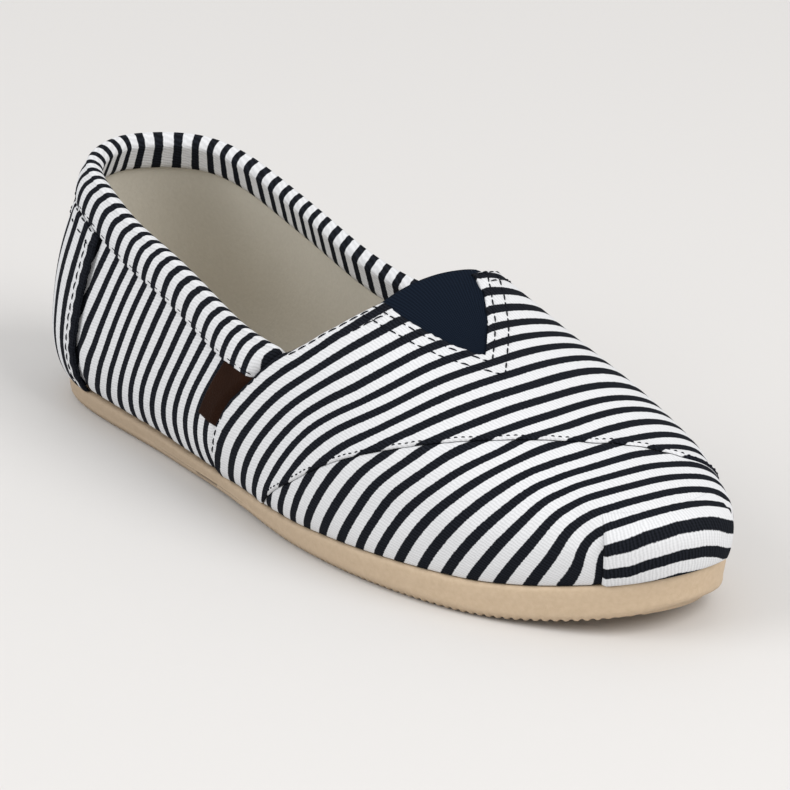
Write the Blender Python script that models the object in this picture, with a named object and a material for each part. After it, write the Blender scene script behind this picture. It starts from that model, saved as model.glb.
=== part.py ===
"""A canvas slip-on sneaker for the right foot, standing empty on its sole.

+X runs from the heel to the toe, +Y to the inner (medial) side of the foot and +Z up.
The floor is at z = 0 and the heel's rearmost point of sole outline is near x = 0.
Every piece of the upper is cut from one function, last_surface, the skin of the last.
"""
import bmesh
import bpy
import numpy as np

# ---- driving dimensions, metres ---------------------------------------------------
LENGTH = 0.252
BALL_WIDTH = 0.084
INSTEP_HEIGHT = 0.070
HEEL_HEIGHT = 0.071

WALL = 0.0016
GAP = 0.0003

LATERAL = -1
MEDIAL = 1

# ---- the last ---------------------------------------------------------------------
# Outline of the sole's top edge: station / LENGTH, half widths / BALL_WIDTH.
OUTLINE_COLUMNS = ("station", "lateral", "medial")
OUTLINE = (
    (0.016, 0.155, 0.161),
    (0.052, 0.280, 0.280),
    (0.119, 0.345, 0.345),
    (0.218, 0.369, 0.351),
    (0.337, 0.405, 0.333),
    (0.452, 0.467, 0.339),
    (0.548, 0.507, 0.387),
    (0.635, 0.514, 0.452),
    (0.714, 0.492, 0.504),
    (0.794, 0.435, 0.515),
    (0.865, 0.345, 0.474),
    (0.929, 0.228, 0.381),
    (0.976, 0.112, 0.285),
)
TOE_TIP = (1.0, 0.095)

# Thickness of the sole's edge, metres.
EDGE_COLUMNS = ("station", "thickness")
EDGE = (
    (0.00, 0.0060),
    (0.05, 0.0065),
    (0.24, 0.0065),
    (0.40, 0.0060),
    (0.60, 0.0080),
    (0.75, 0.0098),
    (0.89, 0.0106),
    (1.00, 0.0106),
)

# How far the wall swells past the feather line, and how high the fullest point is.
SWELL_COLUMNS = ("station", "lateral", "medial", "height")
SWELL = (
    (0.00, 0.0052, 0.0052, 0.016),
    (0.24, 0.0054, 0.0048, 0.016),
    (0.44, 0.0045, 0.0040, 0.015),
    (0.60, 0.0030, 0.0032, 0.012),
    (0.75, 0.0018, 0.0030, 0.010),
    (0.89, 0.0018, 0.0024, 0.009),
    (1.00, 0.0020, 0.0020, 0.009),
)

# Ridge that the sections close to: y / BALL_WIDTH and z / INSTEP_HEIGHT.
# Behind the throat it is only a guide above the opening, which leans the walls in.
RIDGE_COLUMNS = ("station", "side", "height")
RIDGE = (
    (0.08, 0.000, 1.500),
    (0.24, 0.000, 1.450),
    (0.40, 0.048, 1.200),
    (0.52, 0.095, 1.064),
    (0.595, 0.101, 0.993),
    (0.675, 0.089, 0.862),
    (0.754, 0.095, 0.770),
    (0.825, 0.119, 0.670),
    (0.913, 0.131, 0.594),
)

# Exponent of each section's curve: 2 is an ellipse, more is boxier.
FULLNESS_COLUMNS = ("station", "lateral", "medial")
FULLNESS = (
    (0.00, 1.70, 1.70),
    (0.24, 1.60, 1.60),
    (0.44, 1.80, 1.80),
    (0.60, 2.00, 2.95),
    (0.78, 2.25, 2.40),
    (0.91, 1.95, 2.20),
    (1.00, 1.95, 1.95),
)

# Height of the opening's edge / HEEL_HEIGHT, from the back to the throat's corner.
TOP_LINE_COLUMNS = ("station", "height")
TOP_LINE = (
    (0.02, 1.000),
    (0.07, 0.990),
    (0.13, 0.950),
    (0.19, 0.890),
    (0.26, 0.840),
    (0.37, 0.757),
    (0.43, 0.723),
    (0.492, 0.708),
)
# The throat's edge climbs from that corner to the ridge.
THROAT_COLUMNS = ("station", "height")
THROAT = (
    (0.492, 0.708),
    (0.520, 0.748),
    (0.540, 0.812),
    (0.560, 0.876),
    (0.578, 0.930),
    (0.593, 0.983),
)

# The feather line, where the upper meets the sole, and the roll of the wall above it.
FEATHER_INSET = 0.0010
LOW_SHARE = 0.20
LOW_START = np.radians(25.0)

# Ribs run straight across at the waist and fan out from the ridge at toe and heel.
TOE_RIDGE_END = 0.825 * LENGTH
TOE_RIDGE_SLOPE = 0.025
TOE_FAN_START = 0.667 * LENGTH
TOE_FAN_SLOPE = 0.095
HEEL_FAN_START = 0.246 * LENGTH
HEEL_CENTRE = 0.159 * LENGTH
HEEL_FAN_SLOPE = 0.014

# Both sides share one curve where they meet at the toe and the ridge.
BLEND_ARC = 0.06
RIDGE_NORMAL_RISE = 0.98

# Steps of the numerical slopes, and how many halvings a search takes.
ARC_NUDGE = 0.001
OUTLINE_NUDGE = 1e-5
RIDGE_STEP = 0.001
TINY = 1e-6
HALVINGS = 40

# ---- the sole ---------------------------------------------------------------------
HEEL_BEVEL_LENGTH = 0.012
HEEL_BEVEL = 0.0010
ARCH_START = 0.30 * LENGTH
ARCH_END = 0.58 * LENGTH
ARCH_RISE = 0.0012
SPRING_START = 0.81 * LENGTH
TOE_SPRING = 0.0080
SPRING_POWER = 1.8

# The edge's profile from the tread up: how far in from the outline, metres above the
# underside, and share of the edge's thickness above that.
SOLE_PROFILE_COLUMNS = ("inset", "rise", "share")
SOLE_PROFILE = (
    (0.0036, 0.0000, 0.00),
    (0.0020, 0.0006, 0.00),
    (0.0012, 0.0020, 0.00),
    (0.0003, 0.0000, 0.55),
    (0.0000, -0.0007, 1.00),
    (0.0008, 0.0000, 1.00),
)
SOLE_STEPS = 44

INSOLE_INSET = 0.0032
INSOLE_THICKNESS = 0.0030
INSOLE_EDGE = 0.0008
INSOLE_STEPS = 40

# ---- the upper's ribs and rows ----------------------------------------------------
TOE_RIBS = 10
VAMP_RIBS = 3
THROAT_RIBS = 9
WAIST_RIBS = 8
HEEL_RIBS = 13
LOW_ROWS = 5
HIGH_ROWS = 9
HIGH_CROWDING = 0.9

# ---- the elastic and the notch that it fills --------------------------------------
NOTCH_TIP = 0.690 * LENGTH
NOTCH_AXIS = 0.001
NOTCH_HALF_WIDTH = 0.0155
NOTCH_OVERRUN = 0.012
CUTTER_BOTTOM = 0.6 * INSTEP_HEIGHT
CUTTER_TOP = 1.3 * INSTEP_HEIGHT

GORE_THICKNESS = 0.0010
GORE_LAP = 0.0040
GORE_TIP_LAP = 0.0032
GORE_BACK = 0.0005
GORE_STATIONS = 9
GORE_RIBS = 11
# The ribs that cross the elastic start less than this far behind it on the outline.
GORE_REACH = 0.03

# ---- the binding round the top line -----------------------------------------------
BAND_HEIGHT_BACK = 0.0108
BAND_HEIGHT_FRONT = 0.0088
BAND_THICKNESS = 0.0012
BAND_INNER_DEPTH = 0.0080
BAND_FULL_SHARE = 0.6
# How far each face of the folded cloth lies off the upper's outer face.
BAND_OFFSET = {
    "outer_back": GAP,
    "outer_face": GAP + BAND_THICKNESS,
    "middle": -0.5 * WALL,
    "inner_back": -(WALL + GAP),
    "inner_face": -(WALL + GAP + BAND_THICKNESS),
}

# The folded profile, clockwise from the outer hem. Line is where a corner lies on the
# wall, leaf is which side of the wall and which face of the cloth, puff is how many
# times that distance it stands off and lift is how far above the line it is, metres.
PROFILE_COLUMNS = ("line", "leaf", "puff", "lift")
PROFILE = (
    ("hem", "outer_back", 1.00, 0.0000),
    ("hem", "outer_face", 0.80, 0.0000),
    ("full", "outer_face", 1.25, 0.0000),
    ("top", "outer_face", 1.10, 0.0000),
    ("top", "outer_face", 0.70, 0.0010),
    ("top", "middle", 1.00, 0.0019),
    ("top", "inner_face", 0.85, 0.0010),
    ("top", "inner_face", 1.00, -0.0005),
    ("inside", "inner_face", 1.00, 0.0000),
    ("inside", "inner_back", 1.00, 0.0000),
    ("top", "inner_back", 1.00, 0.0000),
    ("top", "inner_back", 1.00, GAP),
    ("top", "outer_back", 1.00, GAP),
    ("full", "outer_back", 1.00, 0.0000),
)
# Corners of the profile that face each other, by their place in the table above.
PROFILE_RUNGS = ((0, 0), (1, 0), (2, 13), (3, 12), (4, 12), (5, 12), (6, 11), (7, 10), (8, 9))

# ---- overlays ---------------------------------------------------------------------
COUNTER_THICKNESS = 0.0009
COUNTER_TOP_ARC = 0.825
COUNTER_FOOT_ARC = 0.845
COUNTER_CLEARANCE = 0.0008
COUNTER_RIBS = 18
COUNTER_ROWS = 11

# The vamp's rear seam in side view, on the lateral side, metres.
SEAM_COLUMNS = ("height", "station")
SEAM = (
    (0.008, 0.1020),
    (0.018, 0.1045),
    (0.025, 0.1074),
    (0.033, 0.1120),
    (0.040, 0.1185),
    (0.050, 0.1270),
)

TAG_THICKNESS = 0.0011
TAG_WIDTH = 0.0112
TAG_TOP = 0.0405
TAG_BOTTOM = 0.0235
TAG_RIBS = 5
TAG_ROWS = 6

TAB_THICKNESS = 0.0011
TAB_HALF_WIDTH = 0.0060
TAB_TOP = 0.0575
TAB_BOTTOM = 0.0345
TAB_HALF_RIBS = 3
TAB_ROWS = 7

MERGE = 1e-7
RIDGE_MERGE = 1e-6
SHARP_ANGLE = np.radians(40)


def columns_of(table, names):
    """The table's columns as arrays, by name."""
    values = np.array(table, float)
    return {name: values[:, index] for index, name in enumerate(names)}


def natural_spline(knots, values):
    """A function through the knots: a natural cubic spline, level beyond both ends."""
    knots = np.asarray(knots, float)
    values = np.asarray(values, float)
    count = len(knots)
    step = np.diff(knots)
    matrix = np.eye(count)
    right = np.zeros(count)
    for i in range(1, count - 1):
        matrix[i, i - 1:i + 2] = (step[i - 1], 2 * (step[i - 1] + step[i]), step[i])
        slopes = np.diff(values[i - 1:i + 2]) / step[i - 1:i + 1]
        right[i] = 6 * (slopes[1] - slopes[0])
    bend = np.linalg.solve(matrix, right)

    def curve(at):
        at = np.clip(np.asarray(at, float), knots[0], knots[-1])
        i = np.clip(np.searchsorted(knots, at, side="right") - 1, 0, count - 2)
        u = (at - knots[i]) / step[i]
        v = 1 - u
        cubic = v * (1 - v ** 2) * bend[i] + u * (1 - u ** 2) * bend[i + 1]
        return v * values[i] + u * values[i + 1] - step[i] ** 2 / 6 * cubic

    return curve


def closed_spline(points):
    """A smooth closed curve through the points, by distance along them."""
    points = np.asarray(points, float)
    count = len(points)
    step = np.linalg.norm(np.roll(points, -1, axis=0) - points, axis=1)
    ends = np.concatenate([[0.0], np.cumsum(step)])
    matrix = np.zeros((count, count))
    right = np.zeros((count, 2))
    for i in range(count):
        after = (i + 1) % count
        matrix[i, i - 1] += step[i - 1]
        matrix[i, i] += 2 * (step[i - 1] + step[i])
        matrix[i, after] += step[i]
        ahead = (points[after] - points[i]) / step[i]
        behind = (points[i] - points[i - 1]) / step[i - 1]
        right[i] = 6 * (ahead - behind)
    bend = np.linalg.solve(matrix, right)

    def curve(at):
        at = np.mod(at, ends[-1])
        i = np.clip(np.searchsorted(ends, at, side="right") - 1, 0, count - 1)
        after = (i + 1) % count
        width = step[i][..., None]
        u = (at[..., None] - ends[i][..., None]) / width
        v = 1 - u
        cubic = v * (1 - v ** 2) * bend[i] + u * (1 - u ** 2) * bend[after]
        return v * points[i] + u * points[after] - width ** 2 / 6 * cubic

    return curve, ends


def table_curve(table, names, column, scale=1.0):
    """One column of a table as a function of x."""
    part = columns_of(table, names)
    return natural_spline(part["station"] * LENGTH, part[column] * scale)


def outline_points():
    """Corners of the sole's outline: heel, lateral side, toe tip, medial side."""
    part = columns_of(OUTLINE, OUTLINE_COLUMNS)
    x = part["station"] * LENGTH
    lateral = np.stack([x, -part["lateral"] * BALL_WIDTH], axis=1)
    medial = np.stack([x, part["medial"] * BALL_WIDTH], axis=1)
    tip = np.array([[TOE_TIP[0] * LENGTH, TOE_TIP[1] * BALL_WIDTH]])
    return np.concatenate([[[0.0, 0.0]], lateral, tip, medial[::-1]])


OUTLINE_CURVE, OUTLINE_ENDS = closed_spline(outline_points())
TIP_AT = OUTLINE_ENDS[len(OUTLINE) + 1]
SIDE_LENGTH = {LATERAL: TIP_AT, MEDIAL: OUTLINE_ENDS[-1] - TIP_AT}

edge_thickness = table_curve(EDGE, EDGE_COLUMNS, "thickness")
swell = {
    LATERAL: table_curve(SWELL, SWELL_COLUMNS, "lateral"),
    MEDIAL: table_curve(SWELL, SWELL_COLUMNS, "medial"),
}
swell_height = table_curve(SWELL, SWELL_COLUMNS, "height")
ridge_side = table_curve(RIDGE, RIDGE_COLUMNS, "side", BALL_WIDTH)
ridge_height = table_curve(RIDGE, RIDGE_COLUMNS, "height", INSTEP_HEIGHT)
fullness = {
    LATERAL: table_curve(FULLNESS, FULLNESS_COLUMNS, "lateral"),
    MEDIAL: table_curve(FULLNESS, FULLNESS_COLUMNS, "medial"),
}
top_line = table_curve(TOP_LINE, TOP_LINE_COLUMNS, "height", HEEL_HEIGHT)
throat_line = table_curve(THROAT, THROAT_COLUMNS, "height", HEEL_HEIGHT)
seam = columns_of(SEAM, SEAM_COLUMNS)
seam_x = natural_spline(seam["height"], seam["station"])
CORNER_X = THROAT[0][0] * LENGTH
THROAT_X = THROAT[-1][0] * LENGTH


def sole_bottom(x):
    """Height of the sole's underside: heel bevel, flat heel, arch, flat ball, spring."""
    x = np.asarray(x, float)
    heel = HEEL_BEVEL * np.clip(1 - x / HEEL_BEVEL_LENGTH, 0, None) ** 2
    along = np.clip((x - ARCH_START) / (ARCH_END - ARCH_START), 0, 1)
    arch = ARCH_RISE * np.sin(np.pi * along) ** 2
    ahead = np.clip((x - SPRING_START) / (LENGTH - SPRING_START), 0, None)
    return heel + arch + TOE_SPRING * ahead ** SPRING_POWER


def sole_top(x):
    """Height of the sole's upper face."""
    return sole_bottom(x) + edge_thickness(x)


def outline_at(side, arc):
    """Point and inward normal of the outline; arc is 0 at the toe tip, 1 at the heel."""
    arc = np.asarray(arc, float)
    along = TIP_AT + side * arc * SIDE_LENGTH[side]
    tangent = OUTLINE_CURVE(along + OUTLINE_NUDGE) - OUTLINE_CURVE(along - OUTLINE_NUDGE)
    tangent /= np.linalg.norm(tangent, axis=-1, keepdims=True)
    inward = np.stack([-tangent[..., 1], tangent[..., 0]], axis=-1)
    return OUTLINE_CURVE(along), inward


ARC_SAMPLES = np.linspace(0, 1, 801)
OUTLINE_X = {side: outline_at(side, ARC_SAMPLES)[0][:, 0] for side in (LATERAL, MEDIAL)}


def arc_at(side, x):
    """Where the outline passes x on one side."""
    return np.interp(-np.asarray(x, float), -OUTLINE_X[side], ARC_SAMPLES)


def hermite(u, start, start_slope, end, end_slope):
    """A cubic between two values with the slopes at its ends."""
    square = u ** 2
    cube = u ** 3
    first = (2 * cube - 3 * square + 1) * start + (cube - 2 * square + u) * start_slope
    return first + (3 * square - 2 * cube) * end + (cube - square) * end_slope


def ridge_x(side, arc, x):
    """Station on the ridge of each rib: straight across, fanned at toe and heel."""
    toe_arc = arc_at(side, TOE_FAN_START)
    heel_arc = arc_at(side, HEEL_FAN_START)
    u = np.clip(arc / toe_arc, 0, 1)
    toe = hermite(u, TOE_RIDGE_END, -TOE_RIDGE_SLOPE, TOE_FAN_START, -TOE_FAN_SLOPE)
    v = np.clip((arc - heel_arc) / (1 - heel_arc), 0, 1)
    heel_slope = -SIDE_LENGTH[side] * (1 - heel_arc)
    heel = hermite(v, HEEL_FAN_START, heel_slope, HEEL_CENTRE, -HEEL_FAN_SLOPE)
    return np.where(arc < toe_arc, toe, np.where(arc > heel_arc, heel, x))


def rib(side, arc):
    """What shapes one rib: its foot, its centre on the ridge and its curve."""
    edge, inward = outline_at(side, arc)
    x = edge[..., 0]
    foot = edge + inward * FEATHER_INSET
    centre_x = ridge_x(side, arc, x)
    centre = np.stack([centre_x, ridge_side(centre_x)], axis=-1)
    out = foot - centre
    out /= np.linalg.norm(out, axis=-1, keepdims=True)
    share = np.clip(arc / BLEND_ARC, 0, 1)
    mean_swell = 0.5 * (swell[LATERAL](x) + swell[MEDIAL](x))
    mean_power = 0.5 * (fullness[LATERAL](x) + fullness[MEDIAL](x))
    bulge = mean_swell + share * (swell[side](x) - mean_swell)
    power = mean_power + share * (fullness[side](x) - mean_power)
    reach = np.linalg.norm(foot + bulge[..., None] * out - centre, axis=-1)
    return x, foot, centre, out, bulge, power, reach


def skin(side, arc, rise):
    """Points of the last's skin; rise is 0 at the feather line and 1 at the ridge."""
    arc, rise = np.broadcast_arrays(np.asarray(arc, float), np.asarray(rise, float))
    x, foot, centre, out, bulge, power, reach = rib(side, arc)
    foot_z = sole_top(x) + GAP
    height = swell_height(x)

    turn = LOW_START + (np.pi / 2 - LOW_START) * np.clip(rise / LOW_SHARE, 0, 1)
    swing = (np.sin(turn) - np.sin(LOW_START)) / (1 - np.sin(LOW_START))
    low = foot + (bulge * swing)[..., None] * out
    low_z = foot_z + height * (np.cos(LOW_START) - np.cos(turn)) / np.cos(LOW_START)

    angle = np.clip((rise - LOW_SHARE) / (1 - LOW_SHARE), 0, 1) * np.pi / 2
    ratio = np.clip(np.cos(angle), 0, 1) ** (2 / power)
    ratio = np.where(rise >= 1, 0, ratio)
    lift = np.sin(angle) ** (2 / power)
    high = centre + (reach * ratio)[..., None] * out
    ridge = centre[..., 0]
    climb = ridge_height(ridge + RIDGE_STEP) - ridge_height(ridge - RIDGE_STEP)
    slope = climb / (2 * RIDGE_STEP)
    tilt = slope * out[..., 0] * reach * ratio * (1 - ratio)
    base_z = foot_z + height
    high_z = base_z + (ridge_height(ridge) - base_z) * lift + tilt

    is_low = rise < LOW_SHARE
    flat = np.where(is_low[..., None], low, high)
    return np.concatenate([flat, np.where(is_low, low_z, high_z)[..., None]], axis=-1)


def last_surface(side, arc, rise, offset=0.0):
    """The skin moved out by offset along its normal."""
    arc, rise = np.broadcast_arrays(np.asarray(arc, float), np.asarray(rise, float))
    level = np.clip(rise, ARC_NUDGE, RIDGE_NORMAL_RISE)
    inside = np.clip(arc, ARC_NUDGE, 1 - ARC_NUDGE)
    ahead = skin(side, np.minimum(arc + ARC_NUDGE, 1), level)
    behind = skin(side, np.maximum(arc - ARC_NUDGE, 0), level)
    across = skin(side, inside, level) - skin(-side, inside, level)
    across = np.where((arc < 0.5)[..., None], across, -across)
    on_seam = (arc < ARC_NUDGE) | (arc > 1 - ARC_NUDGE)
    along = np.where(on_seam[..., None], across, ahead - behind)
    up = skin(side, arc, level + ARC_NUDGE) - skin(side, arc, level - ARC_NUDGE)
    normal = side * np.cross(along, up)
    normal /= np.linalg.norm(normal, axis=-1, keepdims=True)
    return skin(side, arc, rise) + np.asarray(offset, float)[..., None] * normal


def rise_at_height(side, arc, height_of):
    """Rise at which each rib reaches the height given as a function of x, or 1."""
    low = np.full(len(arc), 0.5 * LOW_SHARE)
    high = np.ones(len(arc))
    peak = skin(side, arc, high)
    closed = peak[:, 2] <= height_of(peak[:, 0]) + TINY
    for _ in range(HALVINGS):
        middle = 0.5 * (low + high)
        point = skin(side, arc, middle)
        under = point[:, 2] < height_of(point[:, 0])
        low = np.where(under, middle, low)
        high = np.where(under, high, middle)
    return np.where(closed, 1.0, high)


def level_rise(side, arc, height):
    """Rise at which one rib reaches one height."""
    return rise_at_height(side, np.atleast_1d(arc), lambda x: np.full_like(x, height))[0]


def hem_line(x):
    """Height of the binding's lower edge, which narrows towards the throat."""
    share = np.clip(x / CORNER_X, 0, 1)
    return top_line(x) - BAND_HEIGHT_BACK + share * (BAND_HEIGHT_BACK - BAND_HEIGHT_FRONT)


def opening_height(x):
    """Height of the opening's edge: top line, then throat, then out of reach."""
    edge = np.where(x < CORNER_X, top_line(x), throat_line(x))
    return np.where(x >= THROAT_X - TINY, 1.0, edge)


def arc_and_rise(x, y):
    """Side, arc and rise of the skin's point above a place in plan on the vamp."""
    place = np.array([x, y])
    side = MEDIAL if y > ridge_side(x) else LATERAL
    low = 0.0
    high = float(arc_at(side, x - GORE_REACH))
    for _ in range(HALVINGS):
        middle = 0.5 * (low + high)
        _, _, centre, out, _, _, _ = rib(side, np.array(middle))
        away = place - centre
        if side * (out[0] * away[1] - out[1] * away[0]) > 0:
            low = middle
        else:
            high = middle
    _, _, centre, _, _, power, reach = rib(side, np.array(low))
    ratio = min(np.linalg.norm(place - centre) / reach, 1.0)
    angle = np.arccos(ratio ** (power / 2))
    return side, low, LOW_SHARE + (1 - LOW_SHARE) * angle / (np.pi / 2)


# ---- meshes -----------------------------------------------------------------------

def make_material(name, colour, roughness):
    """A plain Principled material."""
    material = bpy.data.materials.new(name)
    material.use_nodes = True
    shader = material.node_tree.nodes["Principled BSDF"]
    shader.inputs["Base Color"].default_value = (*colour, 1.0)
    shader.inputs["Roughness"].default_value = roughness
    shader.inputs["Metallic"].default_value = 0.0
    return material


def make_object(name, vertices, faces, material, merge=MERGE):
    """A closed mesh object with its faces pointing out, shaded smooth."""
    mesh = bpy.data.meshes.new(name)
    mesh.from_pydata([tuple(v) for v in vertices], [], faces)
    work = bmesh.new()
    work.from_mesh(mesh)
    bmesh.ops.remove_doubles(work, verts=work.verts, dist=merge)
    bmesh.ops.recalc_face_normals(work, faces=work.faces)
    work.to_mesh(mesh)
    work.free()
    mesh.shade_smooth()
    mesh.set_sharp_from_angle(angle=SHARP_ANGLE)
    mesh.materials.append(material)
    thing = bpy.data.objects.new(name, mesh)
    bpy.context.scene.collection.objects.link(thing)
    return thing


def sheet_faces(columns, rows, closed, start=0, flip=False):
    """Quads of a grid stored column by column."""
    faces = []
    for c in range(columns if closed else columns - 1):
        after = (c + 1) % columns
        for r in range(rows - 1):
            quad = (c * rows + r, after * rows + r, after * rows + r + 1, c * rows + r + 1)
            quad = tuple(start + index for index in quad)
            faces.append(quad[::-1] if flip else quad)
    return faces


def rim_faces(columns, rows, row, closed, skip=()):
    """Quads that join the same row of the outer and the inner grid."""
    inner = columns * rows
    faces = []
    for c in range(columns if closed else columns - 1):
        after = (c + 1) % columns
        if c in skip:
            continue
        near = c * rows + row
        far = after * rows + row
        faces.append((near, far, inner + far, inner + near))
    return faces


def end_faces(columns, rows, column):
    """Quads that join one end column of the outer and the inner grid."""
    inner = columns * rows
    faces = []
    for r in range(rows - 1):
        low = column * rows + r
        faces.append((low, low + 1, inner + low + 1, inner + low))
    return faces


def slab(name, outer, inner, material, closed=False):
    """A solid between two grids of the same size."""
    columns, rows = outer.shape[:2]
    vertices = np.concatenate([outer.reshape(-1, 3), inner.reshape(-1, 3)])
    faces = sheet_faces(columns, rows, closed)
    faces += sheet_faces(columns, rows, closed, start=columns * rows, flip=True)
    faces += rim_faces(columns, rows, 0, closed)
    faces += rim_faces(columns, rows, rows - 1, closed)
    if not closed:
        faces += end_faces(columns, rows, 0)
        faces += end_faces(columns, rows, columns - 1)
    return make_object(name, vertices, faces, material)


# ---- the pieces -------------------------------------------------------------------

def rib_arcs(side):
    """Arcs of one side's ribs, from the toe tip to the heel."""
    toe = arc_at(side, TOE_FAN_START) * np.arange(TOE_RIBS) / TOE_RIBS
    heel_arc = float(arc_at(side, HEEL_FAN_START))
    vamp = arc_at(side, np.linspace(TOE_FAN_START, THROAT_X, VAMP_RIBS + 1)[:-1])
    throat = arc_at(side, np.linspace(THROAT_X, CORNER_X, THROAT_RIBS + 1)[:-1])
    waist = arc_at(side, np.linspace(CORNER_X, HEEL_FAN_START, WAIST_RIBS + 1)[:-1])
    heel = np.linspace(heel_arc, 1, HEEL_RIBS + 1)
    return np.concatenate([toe, vamp, throat, waist, heel])


def build_upper(material):
    """The hollow lasted shell with its V notch cut in the throat."""
    low_rises = np.linspace(0, LOW_SHARE, LOW_ROWS + 1)
    high_shares = np.linspace(0, 1, HIGH_ROWS + 1)[1:] ** HIGH_CROWDING
    halves = {}
    for side in (LATERAL, MEDIAL):
        arc = rib_arcs(side)
        top = rise_at_height(side, arc, opening_height)
        high = LOW_SHARE + (top - LOW_SHARE)[:, None] * high_shares[None, :]
        rise = np.concatenate([np.tile(low_rises, (len(arc), 1)), high], axis=1)
        outer = last_surface(side, arc[:, None], rise)
        inner = last_surface(side, arc[:, None], rise, -WALL)
        halves[side] = (outer, inner, top)
    on_ridge = (halves[LATERAL][2] >= 1) & (halves[MEDIAL][2] >= 1)
    for layer in (0, 1):
        lateral = halves[LATERAL][layer]
        medial = halves[MEDIAL][layer]
        mean = 0.5 * (lateral[on_ridge, -1] + medial[on_ridge, -1])
        lateral[on_ridge, -1] = mean
        medial[on_ridge, -1] = mean
    rings = []
    for layer in (0, 1):
        lateral = halves[LATERAL][layer][::-1]
        medial = halves[MEDIAL][layer][1:-1]
        rings.append(np.concatenate([lateral, medial]))
    closed_top = np.concatenate([on_ridge[::-1], on_ridge[1:-1]])
    columns, rows = rings[0].shape[:2]
    skip = [c for c in range(columns) if closed_top[c] and closed_top[(c + 1) % columns]]
    faces = sheet_faces(columns, rows, True)
    faces += sheet_faces(columns, rows, True, start=columns * rows, flip=True)
    faces += rim_faces(columns, rows, 0, True)
    faces += rim_faces(columns, rows, rows - 1, True, skip)
    vertices = np.concatenate([rings[0].reshape(-1, 3), rings[1].reshape(-1, 3)])
    upper = make_object("upper", vertices, faces, material, merge=RIDGE_MERGE)
    cut = upper.modifiers.new("throat_notch", "BOOLEAN")
    cut.operation = "DIFFERENCE"
    cut.object = notch_cutter()
    return upper


def notch_cutter():
    """A wedge, V shaped in plan, that cuts the elastic's notch out of the throat."""
    back = THROAT_X - NOTCH_OVERRUN
    spread = NOTCH_HALF_WIDTH * (NOTCH_TIP - back) / (NOTCH_TIP - THROAT_X)
    plan = (
        (NOTCH_TIP, NOTCH_AXIS),
        (back, NOTCH_AXIS + spread),
        (back, NOTCH_AXIS - spread),
    )
    vertices = [(x, y, z) for z in (CUTTER_BOTTOM, CUTTER_TOP) for x, y in plan]
    faces = [(2, 1, 0), (3, 4, 5), (0, 1, 4, 3), (1, 2, 5, 4), (2, 0, 3, 5)]
    mesh = bpy.data.meshes.new("notch_cutter")
    mesh.from_pydata(vertices, [], faces)
    cutter = bpy.data.objects.new("notch_cutter", mesh)
    bpy.context.scene.collection.objects.link(cutter)
    cutter.hide_render = True
    cutter.display_type = "WIRE"
    return cutter


def build_gore(material):
    """The elastic insert, one layer under the upper's wall and wider than the notch."""
    stations = np.linspace(THROAT_X + GORE_BACK, NOTCH_TIP + GORE_TIP_LAP, GORE_STATIONS)
    across = np.linspace(-1, 1, GORE_RIBS)
    under = -(WALL + GAP)
    outer = np.zeros((len(stations), len(across), 3))
    inner = np.zeros_like(outer)
    for i, x in enumerate(stations):
        share = np.clip((NOTCH_TIP - x) / (NOTCH_TIP - THROAT_X), 0, None)
        half = NOTCH_HALF_WIDTH * share + GORE_LAP
        for j, part in enumerate(across):
            side, arc, rise = arc_and_rise(x, NOTCH_AXIS + half * part)
            outer[i, j] = last_surface(side, arc, rise, under)
            inner[i, j] = last_surface(side, arc, rise, under - GORE_THICKNESS)
    return slab("gore", outer, inner, material)


def both_sides(arcs, rises, offset):
    """A grid that runs from the lateral arcs round the heel to the medial ones."""
    lateral = last_surface(LATERAL, arcs[LATERAL][:, None], rises[LATERAL], offset)
    medial = last_surface(MEDIAL, arcs[MEDIAL][:, None], rises[MEDIAL], offset)
    return np.concatenate([lateral, medial[::-1][1:]])


def build_collar_band(material):
    """The binding folded over the top line, outer leaf longer than the inner one."""
    arcs = {}
    edges = {}
    for side in (LATERAL, MEDIAL):
        waist = arc_at(side, np.linspace(CORNER_X, HEEL_FAN_START, WAIST_RIBS + 1)[:-1])
        heel = np.linspace(float(arc_at(side, HEEL_FAN_START)), 1, HEEL_RIBS + 1)
        arcs[side] = np.concatenate([waist, heel])
        top = rise_at_height(side, arcs[side], top_line)
        hem = rise_at_height(side, arcs[side], hem_line)
        inside = rise_at_height(side, arcs[side], lambda x: top_line(x) - BAND_INNER_DEPTH)
        full = hem + BAND_FULL_SHARE * (top - hem)
        edges[side] = {"hem": hem, "full": full, "top": top, "inside": inside}
    rows = []
    for line, leaf, puff, lift in PROFILE:
        rises = {side: edges[side][line][:, None] for side in edges}
        row = both_sides(arcs, rises, BAND_OFFSET[leaf] * puff)[:, 0]
        row[:, 2] += lift
        rows.append(row)
    ring = np.stack(rows, axis=1)
    columns, count = ring.shape[:2]
    faces = []
    for c in range(columns - 1):
        for r in range(count):
            after = (r + 1) % count
            here = c * count
            there = here + count
            faces.append((here + r, there + r, there + after, here + after))
    faces += profile_cap(0, False)
    faces += profile_cap((columns - 1) * count, True)
    return make_object("collar_band", ring.reshape(-1, 3), faces, material)


def profile_cap(start, flip):
    """Faces that close the folded profile's end, rung by rung."""
    faces = []
    for (a, b), (c, d) in zip(PROFILE_RUNGS[:-1], PROFILE_RUNGS[1:]):
        ring = []
        for index in (start + a, start + c, start + d, start + b):
            if index not in ring:
                ring.append(index)
        if len(ring) > 2:
            faces.append(tuple(ring[::-1] if flip else ring))
    return faces


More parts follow.
